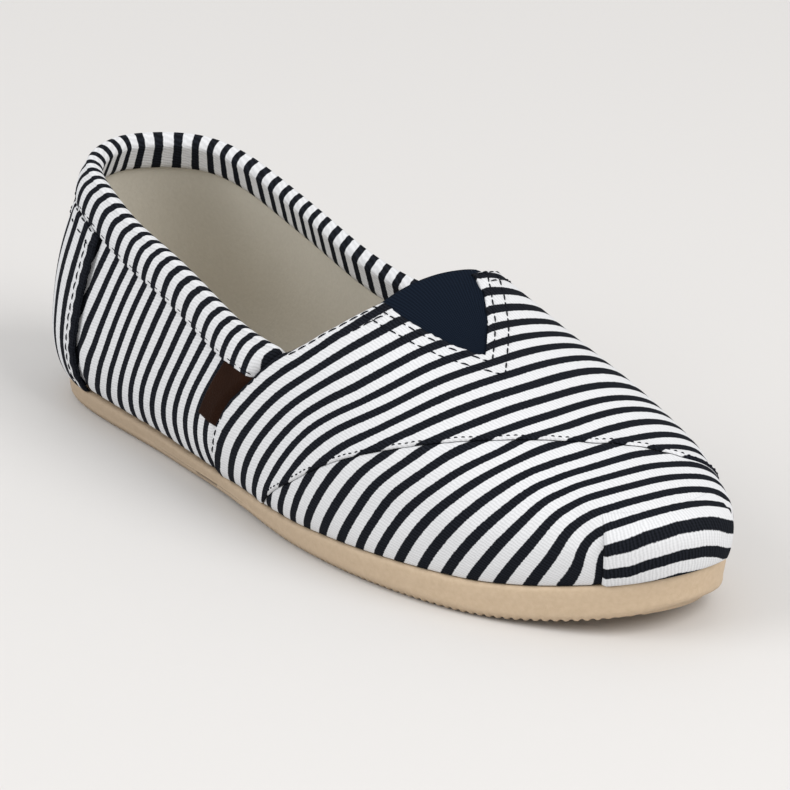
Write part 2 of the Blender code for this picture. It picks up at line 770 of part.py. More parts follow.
def build_heel_counter(material):
    """The overlay round the heel, between two larger forms of the last."""
    arcs = {}
    rises = {}
    for side in (LATERAL, MEDIAL):
        share = np.linspace(0, 1, COUNTER_RIBS)
        foot_arc = COUNTER_FOOT_ARC + (1 - COUNTER_FOOT_ARC) * share
        top_arc = COUNTER_TOP_ARC + (1 - COUNTER_TOP_ARC) * share
        top = rise_at_height(side, top_arc, lambda x: hem_line(x) - COUNTER_CLEARANCE)
        up = np.linspace(0, 1, COUNTER_ROWS)
        arcs[side] = foot_arc[:, None] + (top_arc - foot_arc)[:, None] * up[None, :]
        rises[side] = top[:, None] * up[None, :]
    grids = []
    for offset in (GAP + COUNTER_THICKNESS, GAP):
        lateral = last_surface(LATERAL, arcs[LATERAL], rises[LATERAL], offset)
        medial = last_surface(MEDIAL, arcs[MEDIAL], rises[MEDIAL], offset)
        seam = 0.5 * (lateral[-1] + medial[-1])
        grid = np.concatenate([lateral[:-1], [seam], medial[::-1][1:]])
        grid[:, 0, 2] = np.maximum(grid[:, 0, 2], sole_top(grid[:, 0, 0]) + GAP)
        grids.append(grid)
    return slab("heel_counter", grids[0], grids[1], material)


def build_side_tag(material):
    """A small leather tag caught behind the vamp's seam."""
    outer = np.zeros((TAG_RIBS, TAG_ROWS, 3))
    inner = np.zeros_like(outer)
    for j, height in enumerate(np.linspace(TAG_BOTTOM, TAG_TOP, TAG_ROWS)):
        for i, back in enumerate(np.linspace(TAG_WIDTH, 0, TAG_RIBS)):
            arc = arc_at(LATERAL, seam_x(height) - GAP - back)
            rise = level_rise(LATERAL, arc, height)
            outer[i, j] = last_surface(LATERAL, arc, rise, GAP + TAG_THICKNESS)
            inner[i, j] = last_surface(LATERAL, arc, rise, GAP)
    return slab("side_tag", outer, inner, material)


def build_heel_tab(material):
    """The leather strip up the back seam, over the counter."""
    under = 2 * GAP + COUNTER_THICKNESS
    heights = np.linspace(TAB_BOTTOM, TAB_TOP, TAB_ROWS)
    shares = np.linspace(1, 0, TAB_HALF_RIBS + 1)
    ribs = [(LATERAL, share) for share in shares]
    ribs += [(MEDIAL, share) for share in shares[-2::-1]]
    grids = []
    for offset in (under + TAB_THICKNESS, under):
        columns = []
        for side, share in ribs:
            arc = 1 - share * TAB_HALF_WIDTH / SIDE_LENGTH[side]
            rises = np.array([level_rise(side, arc, height) for height in heights])
            columns.append(last_surface(side, arc, rises, offset))
        grids.append(np.array(columns))
    return slab("heel_tab", grids[0], grids[1], material)


def outline_ring(count, inset):
    """Points round the outline, moved in, as (x, y) pairs starting at the toe tip."""
    rings = []
    for side in (LATERAL, MEDIAL):
        edge, inward = outline_at(side, np.linspace(0, 1, count + 1))
        ring = edge + inward * inset
        rings.append(ring[:-1] if side == LATERAL else ring[::-1][:-1])
    return np.concatenate(rings)


def stacked_solid(name, levels, count, material):
    """A solid of outline rings, (inset, height function) from bottom to top."""
    vertices = []
    for inset, height_of in levels:
        ring = outline_ring(count, inset)
        edge_x = outline_ring(count, 0.0)[:, 0]
        vertices.append(np.column_stack([ring, height_of(edge_x)]))
    around = 2 * count
    faces = []
    for level in range(len(levels) - 1):
        for i in range(around):
            after = (i + 1) % around
            low = level * around
            faces.append((low + i, low + after, low + around + after, low + around + i))
    for start, flip in ((0, True), ((len(levels) - 1) * around, False)):
        for i in range(count):
            corners = [start + i, start + i + 1]
            corners += [start + (around - i - 1) % around, start + (around - i) % around]
            ring = list(dict.fromkeys(corners))
            faces.append(tuple(ring[::-1] if flip else ring))
    return make_object(name, np.concatenate(vertices), faces, material)


def build_outsole(material):
    """The moulded sole: flat underside, chamfered edge, upright side, flat seat."""
    def profile_level(rise, share):
        return lambda x: sole_bottom(x) + rise + share * edge_thickness(x)

    levels = [(inset, profile_level(rise, share)) for inset, rise, share in SOLE_PROFILE]
    return stacked_solid("outsole", levels, SOLE_STEPS, material)


def build_insole(material):
    """The footbed, clear of the wall all round."""
    def seat(x):
        return sole_top(x) + GAP

    levels = (
        (INSOLE_INSET, seat),
        (INSOLE_INSET, lambda x: seat(x) + INSOLE_THICKNESS - INSOLE_EDGE),
        (INSOLE_INSET + INSOLE_EDGE, lambda x: seat(x) + INSOLE_THICKNESS),
    )
    return stacked_solid("insole", levels, INSOLE_STEPS, material)


def centre_on_floor():
    """Move everything so that the origin is under the middle of the whole shoe's box."""
    things = [thing for thing in bpy.data.objects if not thing.hide_render]
    corners = np.array([vertex.co[:] for thing in things for vertex in thing.data.vertices])
    middle = 0.5 * (corners.min(axis=0) + corners.max(axis=0))
    for thing in bpy.data.objects:
        thing.location = (-middle[0], -middle[1], -corners[:, 2].min())


def main():
    """Clear the scene and build every piece."""
    for thing in list(bpy.data.objects):
        bpy.data.objects.remove(thing)
    canvas = make_material("striped_canvas", (0.42, 0.44, 0.48), 0.9)
    binding = make_material("binding_canvas", (0.16, 0.18, 0.24), 0.9)
    overlay = make_material("counter_canvas", (0.30, 0.32, 0.37), 0.9)
    elastic = make_material("elastic", (0.008, 0.012, 0.024), 0.85)
    rubber = make_material("sole_rubber", (0.56, 0.42, 0.27), 0.7)
    leather = make_material("tag_leather", (0.035, 0.015, 0.008), 0.6)
    footbed = make_material("footbed_cloth", (0.50, 0.45, 0.37), 0.9)
    build_outsole(rubber)
    build_insole(footbed)
    build_upper(canvas)
    build_gore(elastic)
    build_collar_band(binding)
    build_heel_counter(overlay)
    build_side_tag(leather)
    build_heel_tab(leather)
    centre_on_floor()


main()
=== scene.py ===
"""The looks of a canvas slip-on sneaker for the right foot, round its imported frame.

All shapes are worked out in the shoe's own frame, metres: +X from the heel's back to the
toe, +Y to the inner (medial) side, +Z up, floor at z = 0. PLACE moves them onto the CAD.
The last_surface function is the one that the solids were cut from. The charts of seams and
stripes give a station x and a girth s, both in millimetres: s is measured over the skin,
across the shoe, from the centre line, negative on the outer (lateral) side.
"""

import bmesh
import bpy
import numpy as np
from mathutils import Matrix, Vector
from mathutils.bvhtree import BVHTree


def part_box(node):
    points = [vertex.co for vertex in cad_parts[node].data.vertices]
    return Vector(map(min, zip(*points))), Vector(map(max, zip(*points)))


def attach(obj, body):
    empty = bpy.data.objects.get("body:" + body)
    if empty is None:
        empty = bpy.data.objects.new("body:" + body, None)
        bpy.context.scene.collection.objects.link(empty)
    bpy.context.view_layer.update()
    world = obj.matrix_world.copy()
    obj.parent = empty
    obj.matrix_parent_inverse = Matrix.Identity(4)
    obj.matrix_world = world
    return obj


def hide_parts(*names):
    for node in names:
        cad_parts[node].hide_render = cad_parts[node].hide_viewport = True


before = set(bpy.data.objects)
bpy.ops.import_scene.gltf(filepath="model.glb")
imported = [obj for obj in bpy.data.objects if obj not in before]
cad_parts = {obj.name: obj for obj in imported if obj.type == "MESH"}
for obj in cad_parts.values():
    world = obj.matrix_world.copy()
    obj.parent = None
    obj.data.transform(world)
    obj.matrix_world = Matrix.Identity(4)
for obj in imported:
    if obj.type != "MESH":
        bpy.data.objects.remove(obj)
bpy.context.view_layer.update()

MM = 0.001

# ---- driving dimensions, metres ---------------------------------------------------
LENGTH = 0.252
BALL_WIDTH = 0.084
INSTEP_HEIGHT = 0.070
HEEL_HEIGHT = 0.071

GAP = 0.0003

LATERAL = -1
MEDIAL = 1
SIDES = (LATERAL, MEDIAL)

# ---- the last ---------------------------------------------------------------------
# Outline of the sole's top edge: station / LENGTH, half widths / BALL_WIDTH.
OUTLINE_COLUMNS = ("station", "lateral", "medial")
OUTLINE = (
    (0.016, 0.155, 0.161),
    (0.052, 0.280, 0.280),
    (0.119, 0.345, 0.345),
    (0.218, 0.369, 0.351),
    (0.337, 0.405, 0.333),
    (0.452, 0.467, 0.339),
    (0.548, 0.507, 0.387),
    (0.635, 0.514, 0.452),
    (0.714, 0.492, 0.504),
    (0.794, 0.435, 0.515),
    (0.865, 0.345, 0.474),
    (0.929, 0.228, 0.381),
    (0.976, 0.112, 0.285),
)
TOE_TIP = (1.0, 0.095)

# Thickness of the sole's edge, metres.
EDGE_COLUMNS = ("station", "thickness")
EDGE = (
    (0.00, 0.0060),
    (0.05, 0.0065),
    (0.24, 0.0065),
    (0.40, 0.0060),
    (0.60, 0.0080),
    (0.75, 0.0098),
    (0.89, 0.0106),
    (1.00, 0.0106),
)

# How far the wall swells past the feather line, and how high the fullest point is.
SWELL_COLUMNS = ("station", "lateral", "medial", "height")
SWELL = (
    (0.00, 0.0052, 0.0052, 0.016),
    (0.24, 0.0054, 0.0048, 0.016),
    (0.44, 0.0045, 0.0040, 0.015),
    (0.60, 0.0030, 0.0032, 0.012),
    (0.75, 0.0018, 0.0030, 0.010),
    (0.89, 0.0018, 0.0024, 0.009),
    (1.00, 0.0020, 0.0020, 0.009),
)

# Ridge that the sections close to: y / BALL_WIDTH and z / INSTEP_HEIGHT.
# Behind the throat it is only a guide above the opening, which leans the walls in.
RIDGE_COLUMNS = ("station", "side", "height")
RIDGE = (
    (0.08, 0.000, 1.500),
    (0.24, 0.000, 1.450),
    (0.40, 0.048, 1.200),
    (0.52, 0.095, 1.064),
    (0.595, 0.101, 0.993),
    (0.675, 0.089, 0.862),
    (0.754, 0.095, 0.770),
    (0.825, 0.119, 0.670),
    (0.913, 0.131, 0.594),
)

# Exponent of each section's curve: 2 is an ellipse, more is boxier.
FULLNESS_COLUMNS = ("station", "lateral", "medial")
FULLNESS = (
    (0.00, 1.70, 1.70),
    (0.24, 1.60, 1.60),
    (0.44, 1.80, 1.80),
    (0.60, 2.00, 2.95),
    (0.78, 2.25, 2.40),
    (0.91, 1.95, 2.20),
    (1.00, 1.95, 1.95),
)

# Height of the opening's edge / HEEL_HEIGHT, from the back to the throat's corner.
TOP_LINE_COLUMNS = ("station", "height")
TOP_LINE = (
    (0.02, 1.000),
    (0.07, 0.990),
    (0.13, 0.950),
    (0.19, 0.890),
    (0.26, 0.840),
    (0.37, 0.757),
    (0.43, 0.723),
    (0.492, 0.708),
)
# The throat's edge climbs from that corner to the ridge.
THROAT_COLUMNS = ("station", "height")
THROAT = (
    (0.492, 0.708),
    (0.520, 0.748),
    (0.540, 0.812),
    (0.560, 0.876),
    (0.578, 0.930),
    (0.593, 0.983),
)

# The feather line, where the upper meets the sole, and the roll of the wall above it.
FEATHER_INSET = 0.0010
LOW_SHARE = 0.20
LOW_START = np.radians(25.0)

# Ribs run straight across at the waist and fan out from the ridge at toe and heel.
TOE_RIDGE_END = 0.825 * LENGTH
TOE_RIDGE_SLOPE = 0.025
TOE_FAN_START = 0.667 * LENGTH
TOE_FAN_SLOPE = 0.095
HEEL_FAN_START = 0.246 * LENGTH
HEEL_CENTRE = 0.159 * LENGTH
HEEL_FAN_SLOPE = 0.014

# Both sides share one curve where they meet at the toe and the ridge.
BLEND_ARC = 0.06
RIDGE_NORMAL_RISE = 0.98

# Steps of the numerical slopes, and how many halvings a search takes.
ARC_NUDGE = 0.001
OUTLINE_NUDGE = 1e-5
RIDGE_STEP = 0.001
TINY = 1e-6
HALVINGS = 40

# ---- the sole ---------------------------------------------------------------------
HEEL_BEVEL_LENGTH = 0.012
HEEL_BEVEL = 0.0010
ARCH_START = 0.30 * LENGTH
ARCH_END = 0.58 * LENGTH
ARCH_RISE = 0.0012
SPRING_START = 0.81 * LENGTH
TOE_SPRING = 0.0080
SPRING_POWER = 1.8

SOLE_STEPS = 44
INSOLE_INSET = 0.0032
INSOLE_THICKNESS = 0.0030
INSOLE_EDGE = 0.0008

GORE_REACH = 0.03
BAND_HEIGHT_BACK = 0.0108
BAND_HEIGHT_FRONT = 0.0088
BAND_INNER_DEPTH = 0.0080

COUNTER_TOP_ARC = 0.825
COUNTER_FOOT_ARC = 0.845

# The vamp's rear seam in side view, on the lateral side, metres.
SEAM_COLUMNS = ("height", "station")
SEAM = (
    (0.008, 0.1020),
    (0.018, 0.1045),
    (0.025, 0.1074),
    (0.033, 0.1120),
    (0.040, 0.1185),
    (0.050, 0.1270),
)

TAB_HALF_WIDTH = 0.0060
TAB_TOP = 0.0575
TAB_BOTTOM = 0.0345


def columns_of(table, names):
    """The table's columns as arrays, by name."""
    values = np.array(table, float)
    return {name: values[:, index] for index, name in enumerate(names)}


def natural_spline(knots, values):
    """A function through the knots: a natural cubic spline, level beyond both ends."""
    knots = np.asarray(knots, float)
    values = np.asarray(values, float)
    count = len(knots)
    step = np.diff(knots)
    matrix = np.eye(count)
    right = np.zeros(count)
    for i in range(1, count - 1):
        matrix[i, i - 1:i + 2] = (step[i - 1], 2 * (step[i - 1] + step[i]), step[i])
        slopes = np.diff(values[i - 1:i + 2]) / step[i - 1:i + 1]
        right[i] = 6 * (slopes[1] - slopes[0])
    bend = np.linalg.solve(matrix, right)

    def curve(at):
        at = np.clip(np.asarray(at, float), knots[0], knots[-1])
        i = np.clip(np.searchsorted(knots, at, side="right") - 1, 0, count - 2)
        u = (at - knots[i]) / step[i]
        v = 1 - u
        cubic = v * (1 - v ** 2) * bend[i] + u * (1 - u ** 2) * bend[i + 1]
        return v * values[i] + u * values[i + 1] - step[i] ** 2 / 6 * cubic

    return curve


def closed_spline(points):
    """A smooth closed curve through the points, by distance along them."""
    points = np.asarray(points, float)
    count = len(points)
    step = np.linalg.norm(np.roll(points, -1, axis=0) - points, axis=1)
    ends = np.concatenate([[0.0], np.cumsum(step)])
    matrix = np.zeros((count, count))
    right = np.zeros((count, 2))
    for i in range(count):
        after = (i + 1) % count
        matrix[i, i - 1] += step[i - 1]
        matrix[i, i] += 2 * (step[i - 1] + step[i])
        matrix[i, after] += step[i]
        ahead = (points[after] - points[i]) / step[i]
        behind = (points[i] - points[i - 1]) / step[i - 1]
        right[i] = 6 * (ahead - behind)
    bend = np.linalg.solve(matrix, right)

    def curve(at):
        at = np.mod(at, ends[-1])
        i = np.clip(np.searchsorted(ends, at, side="right") - 1, 0, count - 1)
        after = (i + 1) % count
        width = step[i][..., None]
        u = (at[..., None] - ends[i][..., None]) / width
        v = 1 - u
        cubic = v * (1 - v ** 2) * bend[i] + u * (1 - u ** 2) * bend[after]
        return v * points[i] + u * points[after] - width ** 2 / 6 * cubic

    return curve, ends


def table_curve(table, names, column, scale=1.0):
    """One column of a table as a function of x."""
    part = columns_of(table, names)
    return natural_spline(part["station"] * LENGTH, part[column] * scale)


def outline_points():
    """Corners of the sole's outline: heel, lateral side, toe tip, medial side."""
    part = columns_of(OUTLINE, OUTLINE_COLUMNS)
    x = part["station"] * LENGTH
    lateral = np.stack([x, -part["lateral"] * BALL_WIDTH], axis=1)
    medial = np.stack([x, part["medial"] * BALL_WIDTH], axis=1)
    tip = np.array([[TOE_TIP[0] * LENGTH, TOE_TIP[1] * BALL_WIDTH]])
    return np.concatenate([[[0.0, 0.0]], lateral, tip, medial[::-1]])


OUTLINE_CURVE, OUTLINE_ENDS = closed_spline(outline_points())
TIP_AT = OUTLINE_ENDS[len(OUTLINE) + 1]
SIDE_LENGTH = {LATERAL: TIP_AT, MEDIAL: OUTLINE_ENDS[-1] - TIP_AT}

edge_thickness = table_curve(EDGE, EDGE_COLUMNS, "thickness")
swell = {
    LATERAL: table_curve(SWELL, SWELL_COLUMNS, "lateral"),
    MEDIAL: table_curve(SWELL, SWELL_COLUMNS, "medial"),
}
swell_height = table_curve(SWELL, SWELL_COLUMNS, "height")
ridge_side = table_curve(RIDGE, RIDGE_COLUMNS, "side", BALL_WIDTH)
ridge_height = table_curve(RIDGE, RIDGE_COLUMNS, "height", INSTEP_HEIGHT)
fullness = {
    LATERAL: table_curve(FULLNESS, FULLNESS_COLUMNS, "lateral"),
    MEDIAL: table_curve(FULLNESS, FULLNESS_COLUMNS, "medial"),
}
top_line = table_curve(TOP_LINE, TOP_LINE_COLUMNS, "height", HEEL_HEIGHT)
throat_line = table_curve(THROAT, THROAT_COLUMNS, "height", HEEL_HEIGHT)
seam = columns_of(SEAM, SEAM_COLUMNS)
seam_x = natural_spline(seam["height"], seam["station"])
CORNER_X = THROAT[0][0] * LENGTH
THROAT_X = THROAT[-1][0] * LENGTH


def sole_bottom(x):
    """Height of the sole's underside: heel bevel, flat heel, arch, flat ball, spring."""
    x = np.asarray(x, float)
    heel = HEEL_BEVEL * np.clip(1 - x / HEEL_BEVEL_LENGTH, 0, None) ** 2
    along = np.clip((x - ARCH_START) / (ARCH_END - ARCH_START), 0, 1)
    arch = ARCH_RISE * np.sin(np.pi * along) ** 2
    ahead = np.clip((x - SPRING_START) / (LENGTH - SPRING_START), 0, None)
    return heel + arch + TOE_SPRING * ahead ** SPRING_POWER


def sole_top(x):
    """Height of the sole's upper face."""
    return sole_bottom(x) + edge_thickness(x)


def outline_at(side, arc):
    """Point and inward normal of the outline; arc is 0 at the toe tip, 1 at the heel."""
    arc = np.asarray(arc, float)
    along = TIP_AT + side * arc * SIDE_LENGTH[side]
    tangent = OUTLINE_CURVE(along + OUTLINE_NUDGE) - OUTLINE_CURVE(along - OUTLINE_NUDGE)
    tangent /= np.linalg.norm(tangent, axis=-1, keepdims=True)
    inward = np.stack([-tangent[..., 1], tangent[..., 0]], axis=-1)
    return OUTLINE_CURVE(along), inward


ARC_SAMPLES = np.linspace(0, 1, 801)
OUTLINE_X = {side: outline_at(side, ARC_SAMPLES)[0][:, 0] for side in SIDES}


def arc_at(side, x):
    """Where the outline passes x on one side."""
    return np.interp(-np.asarray(x, float), -OUTLINE_X[side], ARC_SAMPLES)


def hermite(u, start, start_slope, end, end_slope):
    """A cubic between two values with the slopes at its ends."""
    square = u ** 2
    cube = u ** 3
    first = (2 * cube - 3 * square + 1) * start + (cube - 2 * square + u) * start_slope
    return first + (3 * square - 2 * cube) * end + (cube - square) * end_slope


def ridge_x(side, arc, x):
    """Station on the ridge of each rib: straight across, fanned at toe and heel."""
    toe_arc = arc_at(side, TOE_FAN_START)
    heel_arc = arc_at(side, HEEL_FAN_START)
    u = np.clip(arc / toe_arc, 0, 1)
    toe = hermite(u, TOE_RIDGE_END, -TOE_RIDGE_SLOPE, TOE_FAN_START, -TOE_FAN_SLOPE)
    v = np.clip((arc - heel_arc) / (1 - heel_arc), 0, 1)
    heel_slope = -SIDE_LENGTH[side] * (1 - heel_arc)
    heel = hermite(v, HEEL_FAN_START, heel_slope, HEEL_CENTRE, -HEEL_FAN_SLOPE)
    return np.where(arc < toe_arc, toe, np.where(arc > heel_arc, heel, x))


def rib(side, arc):
    """What shapes one rib: its foot, its centre on the ridge and its curve."""
    edge, inward = outline_at(side, arc)
    x = edge[..., 0]
    foot = edge + inward * FEATHER_INSET
    centre_x = ridge_x(side, arc, x)
    centre = np.stack([centre_x, ridge_side(centre_x)], axis=-1)
    out = foot - centre
    out /= np.linalg.norm(out, axis=-1, keepdims=True)
    share = np.clip(arc / BLEND_ARC, 0, 1)
    mean_swell = 0.5 * (swell[LATERAL](x) + swell[MEDIAL](x))
    mean_power = 0.5 * (fullness[LATERAL](x) + fullness[MEDIAL](x))
    bulge = mean_swell + share * (swell[side](x) - mean_swell)
    power = mean_power + share * (fullness[side](x) - mean_power)
    reach = np.linalg.norm(foot + bulge[..., None] * out - centre, axis=-1)
    return x, foot, centre, out, bulge, power, reach


def skin(side, arc, rise):
    """Points of the last's skin; rise is 0 at the feather line and 1 at the ridge."""
    arc, rise = np.broadcast_arrays(np.asarray(arc, float), np.asarray(rise, float))
    x, foot, centre, out, bulge, power, reach = rib(side, arc)
    foot_z = sole_top(x) + GAP
    height = swell_height(x)

    turn = LOW_START + (np.pi / 2 - LOW_START) * np.clip(rise / LOW_SHARE, 0, 1)
    swing = (np.sin(turn) - np.sin(LOW_START)) / (1 - np.sin(LOW_START))
    low = foot + (bulge * swing)[..., None] * out
    low_z = foot_z + height * (np.cos(LOW_START) - np.cos(turn)) / np.cos(LOW_START)

    angle = np.clip((rise - LOW_SHARE) / (1 - LOW_SHARE), 0, 1) * np.pi / 2
    ratio = np.clip(np.cos(angle), 0, 1) ** (2 / power)
    ratio = np.where(rise >= 1, 0, ratio)
    lift = np.sin(angle) ** (2 / power)
    high = centre + (reach * ratio)[..., None] * out
    ridge = centre[..., 0]
    climb = ridge_height(ridge + RIDGE_STEP) - ridge_height(ridge - RIDGE_STEP)
    slope = climb / (2 * RIDGE_STEP)
    tilt = slope * out[..., 0] * reach * ratio * (1 - ratio)
    base_z = foot_z + height
    high_z = base_z + (ridge_height(ridge) - base_z) * lift + tilt

    is_low = rise < LOW_SHARE
    flat = np.where(is_low[..., None], low, high)
    return np.concatenate([flat, np.where(is_low, low_z, high_z)[..., None]], axis=-1)


def last_surface(side, arc, rise, offset=0.0):
    """The skin moved out by offset along its normal."""
    arc, rise = np.broadcast_arrays(np.asarray(arc, float), np.asarray(rise, float))
    level = np.clip(rise, ARC_NUDGE, RIDGE_NORMAL_RISE)
    inside = np.clip(arc, ARC_NUDGE, 1 - ARC_NUDGE)
    ahead = skin(side, np.minimum(arc + ARC_NUDGE, 1), level)
    behind = skin(side, np.maximum(arc - ARC_NUDGE, 0), level)
    across = skin(side, inside, level) - skin(-side, inside, level)
    across = np.where((arc < 0.5)[..., None], across, -across)
    on_seam = (arc < ARC_NUDGE) | (arc > 1 - ARC_NUDGE)
    along = np.where(on_seam[..., None], across, ahead - behind)
    up = skin(side, arc, level + ARC_NUDGE) - skin(side, arc, level - ARC_NUDGE)
    normal = side * np.cross(along, up)
    normal /= np.linalg.norm(normal, axis=-1, keepdims=True)
    return skin(side, arc, rise) + np.asarray(offset, float)[..., None] * normal


def hem_line(x):
    """Height of the binding's lower edge, which narrows towards the throat."""
    share = np.clip(x / CORNER_X, 0, 1)
    return top_line(x) - BAND_HEIGHT_BACK + share * (BAND_HEIGHT_BACK - BAND_HEIGHT_FRONT)


def opening_height(x):
    """Height of the opening's edge: top line, then throat, then out of reach."""
    edge = np.where(x < CORNER_X, top_line(x), throat_line(x))
    return np.where(x >= THROAT_X - TINY, 1.0, edge)


def arc_and_rise(x, y):
    """Side, arc and rise of the skin's point above a place in plan on the vamp."""
    place = np.array([x, y])
    side = MEDIAL if y > ridge_side(x) else LATERAL
    low = 0.0
    high = float(arc_at(side, x - GORE_REACH))
    for _ in range(HALVINGS):
        middle = 0.5 * (low + high)
        _, _, centre, out, _, _, _ = rib(side, np.array(middle))
        away = place - centre
        if side * (out[0] * away[1] - out[1] * away[0]) > 0:
            low = middle
        else:
            high = middle
    _, _, centre, _, _, power, reach = rib(side, np.array(low))
    ratio = min(np.linalg.norm(place - centre) / reach, 1.0)
    angle = np.arccos(ratio ** (power / 2))
    return side, low, LOW_SHARE + (1 - LOW_SHARE) * angle / (np.pi / 2)

# ---- what the cloth adds to the solids, metres ------------------------------------
# Thickness of canvas and lining, how far a hem stands up and how far its edge rolls down.
CANVAS = 0.0008
LINING = 0.0005
HEM_LIFT = 0.00055
EDGE_ROLL = 0.0006
# Radius of the thread, length of a stitch, gap to the next, and distances from the edge.
THREAD = 0.00024
THIN_THREAD = 0.8 * THREAD
STITCH = 0.0026
STITCH_GAP = 0.0007
SMALL_STITCH = 0.0011
SMALL_GAP = 0.0009
STITCH_NEAR = 0.0011
STITCH_FAR = 0.0050
COUNTER_STITCH_FAR = 0.0044
V_STITCH_NEAR = 0.0020
V_STITCH_FAR = 0.0058
TOE_STITCH = 0.0009
# Where the binding's thread runs: above its hem, and out from the last.
BINDING_STITCH_UP = 0.0012
BINDING_STITCH_OUT = 0.0014
# Pitch of one dark and one light stripe, millimetres, by which the weave is scaled.
STRIPE_PITCH = 5.8
# Above its table the rear seam climbs this much for each length forward.
SEAM_CLIMB = 1.15

# Middle of the vamp and toe in plan, millimetres: station, y.
CENTRE_LINE = (
    (0, 0), (100, 4), (131, 8), (150, 8.5), (170, 7.5), (190, 8), (208, 10), (230, 11), (252, 8),
)

# The seam between vamp and toe panel. Place is side times arc: negative on the outer side.
TOE_SEAM_COLUMNS = ("place", "rise")
TOE_SEAM = (
    (-0.505, 0.00), (-0.485, 0.085), (-0.44, 0.21), (-0.36, 0.38), (-0.29, 0.53), (-0.20, 0.715),
    (-0.14, 0.79), (-0.07, 0.845), (-0.015, 0.865), (0.035, 0.82), (0.065, 0.74), (0.095, 0.58),
    (0.13, 0.31), (0.16, 0.00),
)

# The V of the elastic in plan, millimetres: its two edges from the throat to the tip.
V_LEFT = ((143.0, -14.9), (151.9, -13.7), (160.0, -11.6), (168.0, -8.1), (175.6, -3.0))
V_RIGHT = ((147.0, 17.6), (155.7, 12.6), (165.3, 6.3), (171.3, 1.0), (175.6, -3.0))
# The same V on the chart: station and girth of its two corners and its tip.
V_CHART_LEFT = (144.3, -24.5)
V_CHART_RIGHT = (147.6, 9.5)
V_CHART_TIP = (176.5, -10.5)
# How far the elastic reaches under the canvas, millimetres.
GORE_MARGIN = 5.0
# How far the vamp's edge lies under the throat's line: station and depth, millimetres.
THROAT_TRIM = (
    (124.0, 0.9), (130.0, 0.65), (134.0, 0.25), (139.0, 0.1), (141.5, -0.3), (143.4, -1.0),
)

# Drift of the vamp's stripes from straight across, mm, by girth (rows) and by the
# station where the stripe crosses the centre line (columns).
VAMP_DRIFT_AT = (152, 170, 190, 203)
VAMP_DRIFT = (
    (-97, -46.0, -44.5, -45.0, -40.0),
    (-90, -42.3, -40.5, -41.0, -36.0),
    (-80, -37.0, -34.5, -35.0, -30.0),
    (-70, -29.8, -28.0, -29.0, -25.0),
    (-60, -22.0, -21.0, -22.5, -19.0),
    (-50, -14.0, -13.3, -15.0, -12.5),
    (-40, -8.0, -7.4, -8.3, -7.0),
    (-30, -3.9, -4.0, -3.9, -3.0),
    (-20, -1.6, -1.8, -1.3, -0.9),
    (-10, 0.0, 0.0, 0.0, 0.0),
    (0, 0.3, 0.1, 0.0, 0.0),
    (20, 1.0, 0.3, 0.0, 0.8),
    (30, -2.0, -2.0, -1.0, 0.0),
    (40, -6.0, -6.0, -5.0, -3.0),
    (50, -12.0, -12.0, -10.0, -8.0),
    (60, -19.0, -19.0, -16.0, -13.0),
    (70, -26.0, -26.0, -22.0, -19.0),
    (85, -36.0, -36.0, -31.0, -28.0),
)
# The vamp's stripes along the centre line: station and count.
VAMP_COUNTS = (
    (143.0, -6), (149.2, -5), (155.8, -4), (162.0, -3), (167.6, -2), (173.1, -1), (178.7, 0),
    (184.8, 1), (190.7, 2), (196.5, 3), (202.0, 4), (206.8, 5), (218.0, 7),
)
# The same drift and counts of the toe panel's stripes.
TOE_DRIFT_AT = (185, 205, 217, 229, 241, 250)
TOE_DRIFT = (
    (-97, -36.0, -38.0, -38.0, -38.0, -38.0, -38.0),
    (-90, -32.5, -33.0, -33.0, -33.0, -33.0, -33.0),
    (-80, -27.4, -27.3, -27.0, -27.0, -27.0, -27.0),
    (-70, -22.5, -22.0, -21.7, -22.0, -23.0, -23.0),
    (-60, -17.0, -16.6, -16.5, -17.2, -18.5, -19.0),
    (-50, -10.6, -10.3, -11.4, -12.6, -13.9, -14.5),
    (-40, -6.0, -5.2, -7.1, -8.7, -10.0, -10.8),
    (-30, -2.0, -1.6, -4.0, -6.2, -7.6, -9.0),
    (-20, -1.0, -1.0, -1.5, -2.8, -3.3, -3.4),
    (-10, 0.0, 0.0, 0.0, 0.0, 0.0, 0.0),
    (0, 0.5, 0.5, 0.5, 1.3, 1.5, 2.0),
    (10, 1.2, 1.2, 1.7, 3.3, 3.5, 3.5),
    (20, 2.5, 2.5, 3.3, 4.6, 5.0, 5.0),
    (30, 2.0, 2.0, 2.0, 3.5, 4.0, 4.0),
    (40, -1.0, -1.0, -1.0, 0.0, 0.0, 0.0),
    (60, -11.0, -11.0, -11.0, -10.0, -10.0, -10.0),
    (80, -23.0, -23.0, -23.0, -22.0, -22.0, -22.0),
)
TOE_COUNTS = (
    (160.9, -9), (172.2, -7), (211.7, 0), (217.6, 1), (223.3, 2), (228.8, 3), (234.2, 4),
    (239.7, 5), (245.2, 6), (250.1, 7),
)
# The toe's front: girth up from the feather line of the stripe that tops it, and pitch, mm.
FLAP_LINE_COLUMNS = ("arc", "top", "pitch")
FLAP_LINES = (
    (-0.100, 16.5, 6.2),
    (-0.085, 17.7, 6.5),
    (-0.070, 18.8, 7.0),
    (-0.055, 19.8, 6.9),
    (-0.025, 20.6, 6.8),
    (0.000, 20.2, 6.95),
    (0.015, 19.5, 7.2),
    (0.030, 18.0, 7.35),
    (0.050, 16.0, 7.0),
)
FLAP_TOP_COUNT = 6

# The folded front: arcs of its two pleats, girth where the fold ends and where the flap
# merges with the panel, millimetres, and how far it stands off the last, metres.
FLAP_LATERAL = 0.094
FLAP_MEDIAL = 0.047
FLAP_FOLD_HEIGHT = 15.0
FLAP_MERGE_HEIGHT = 21.0
FLAP_PUFF = 0.0014

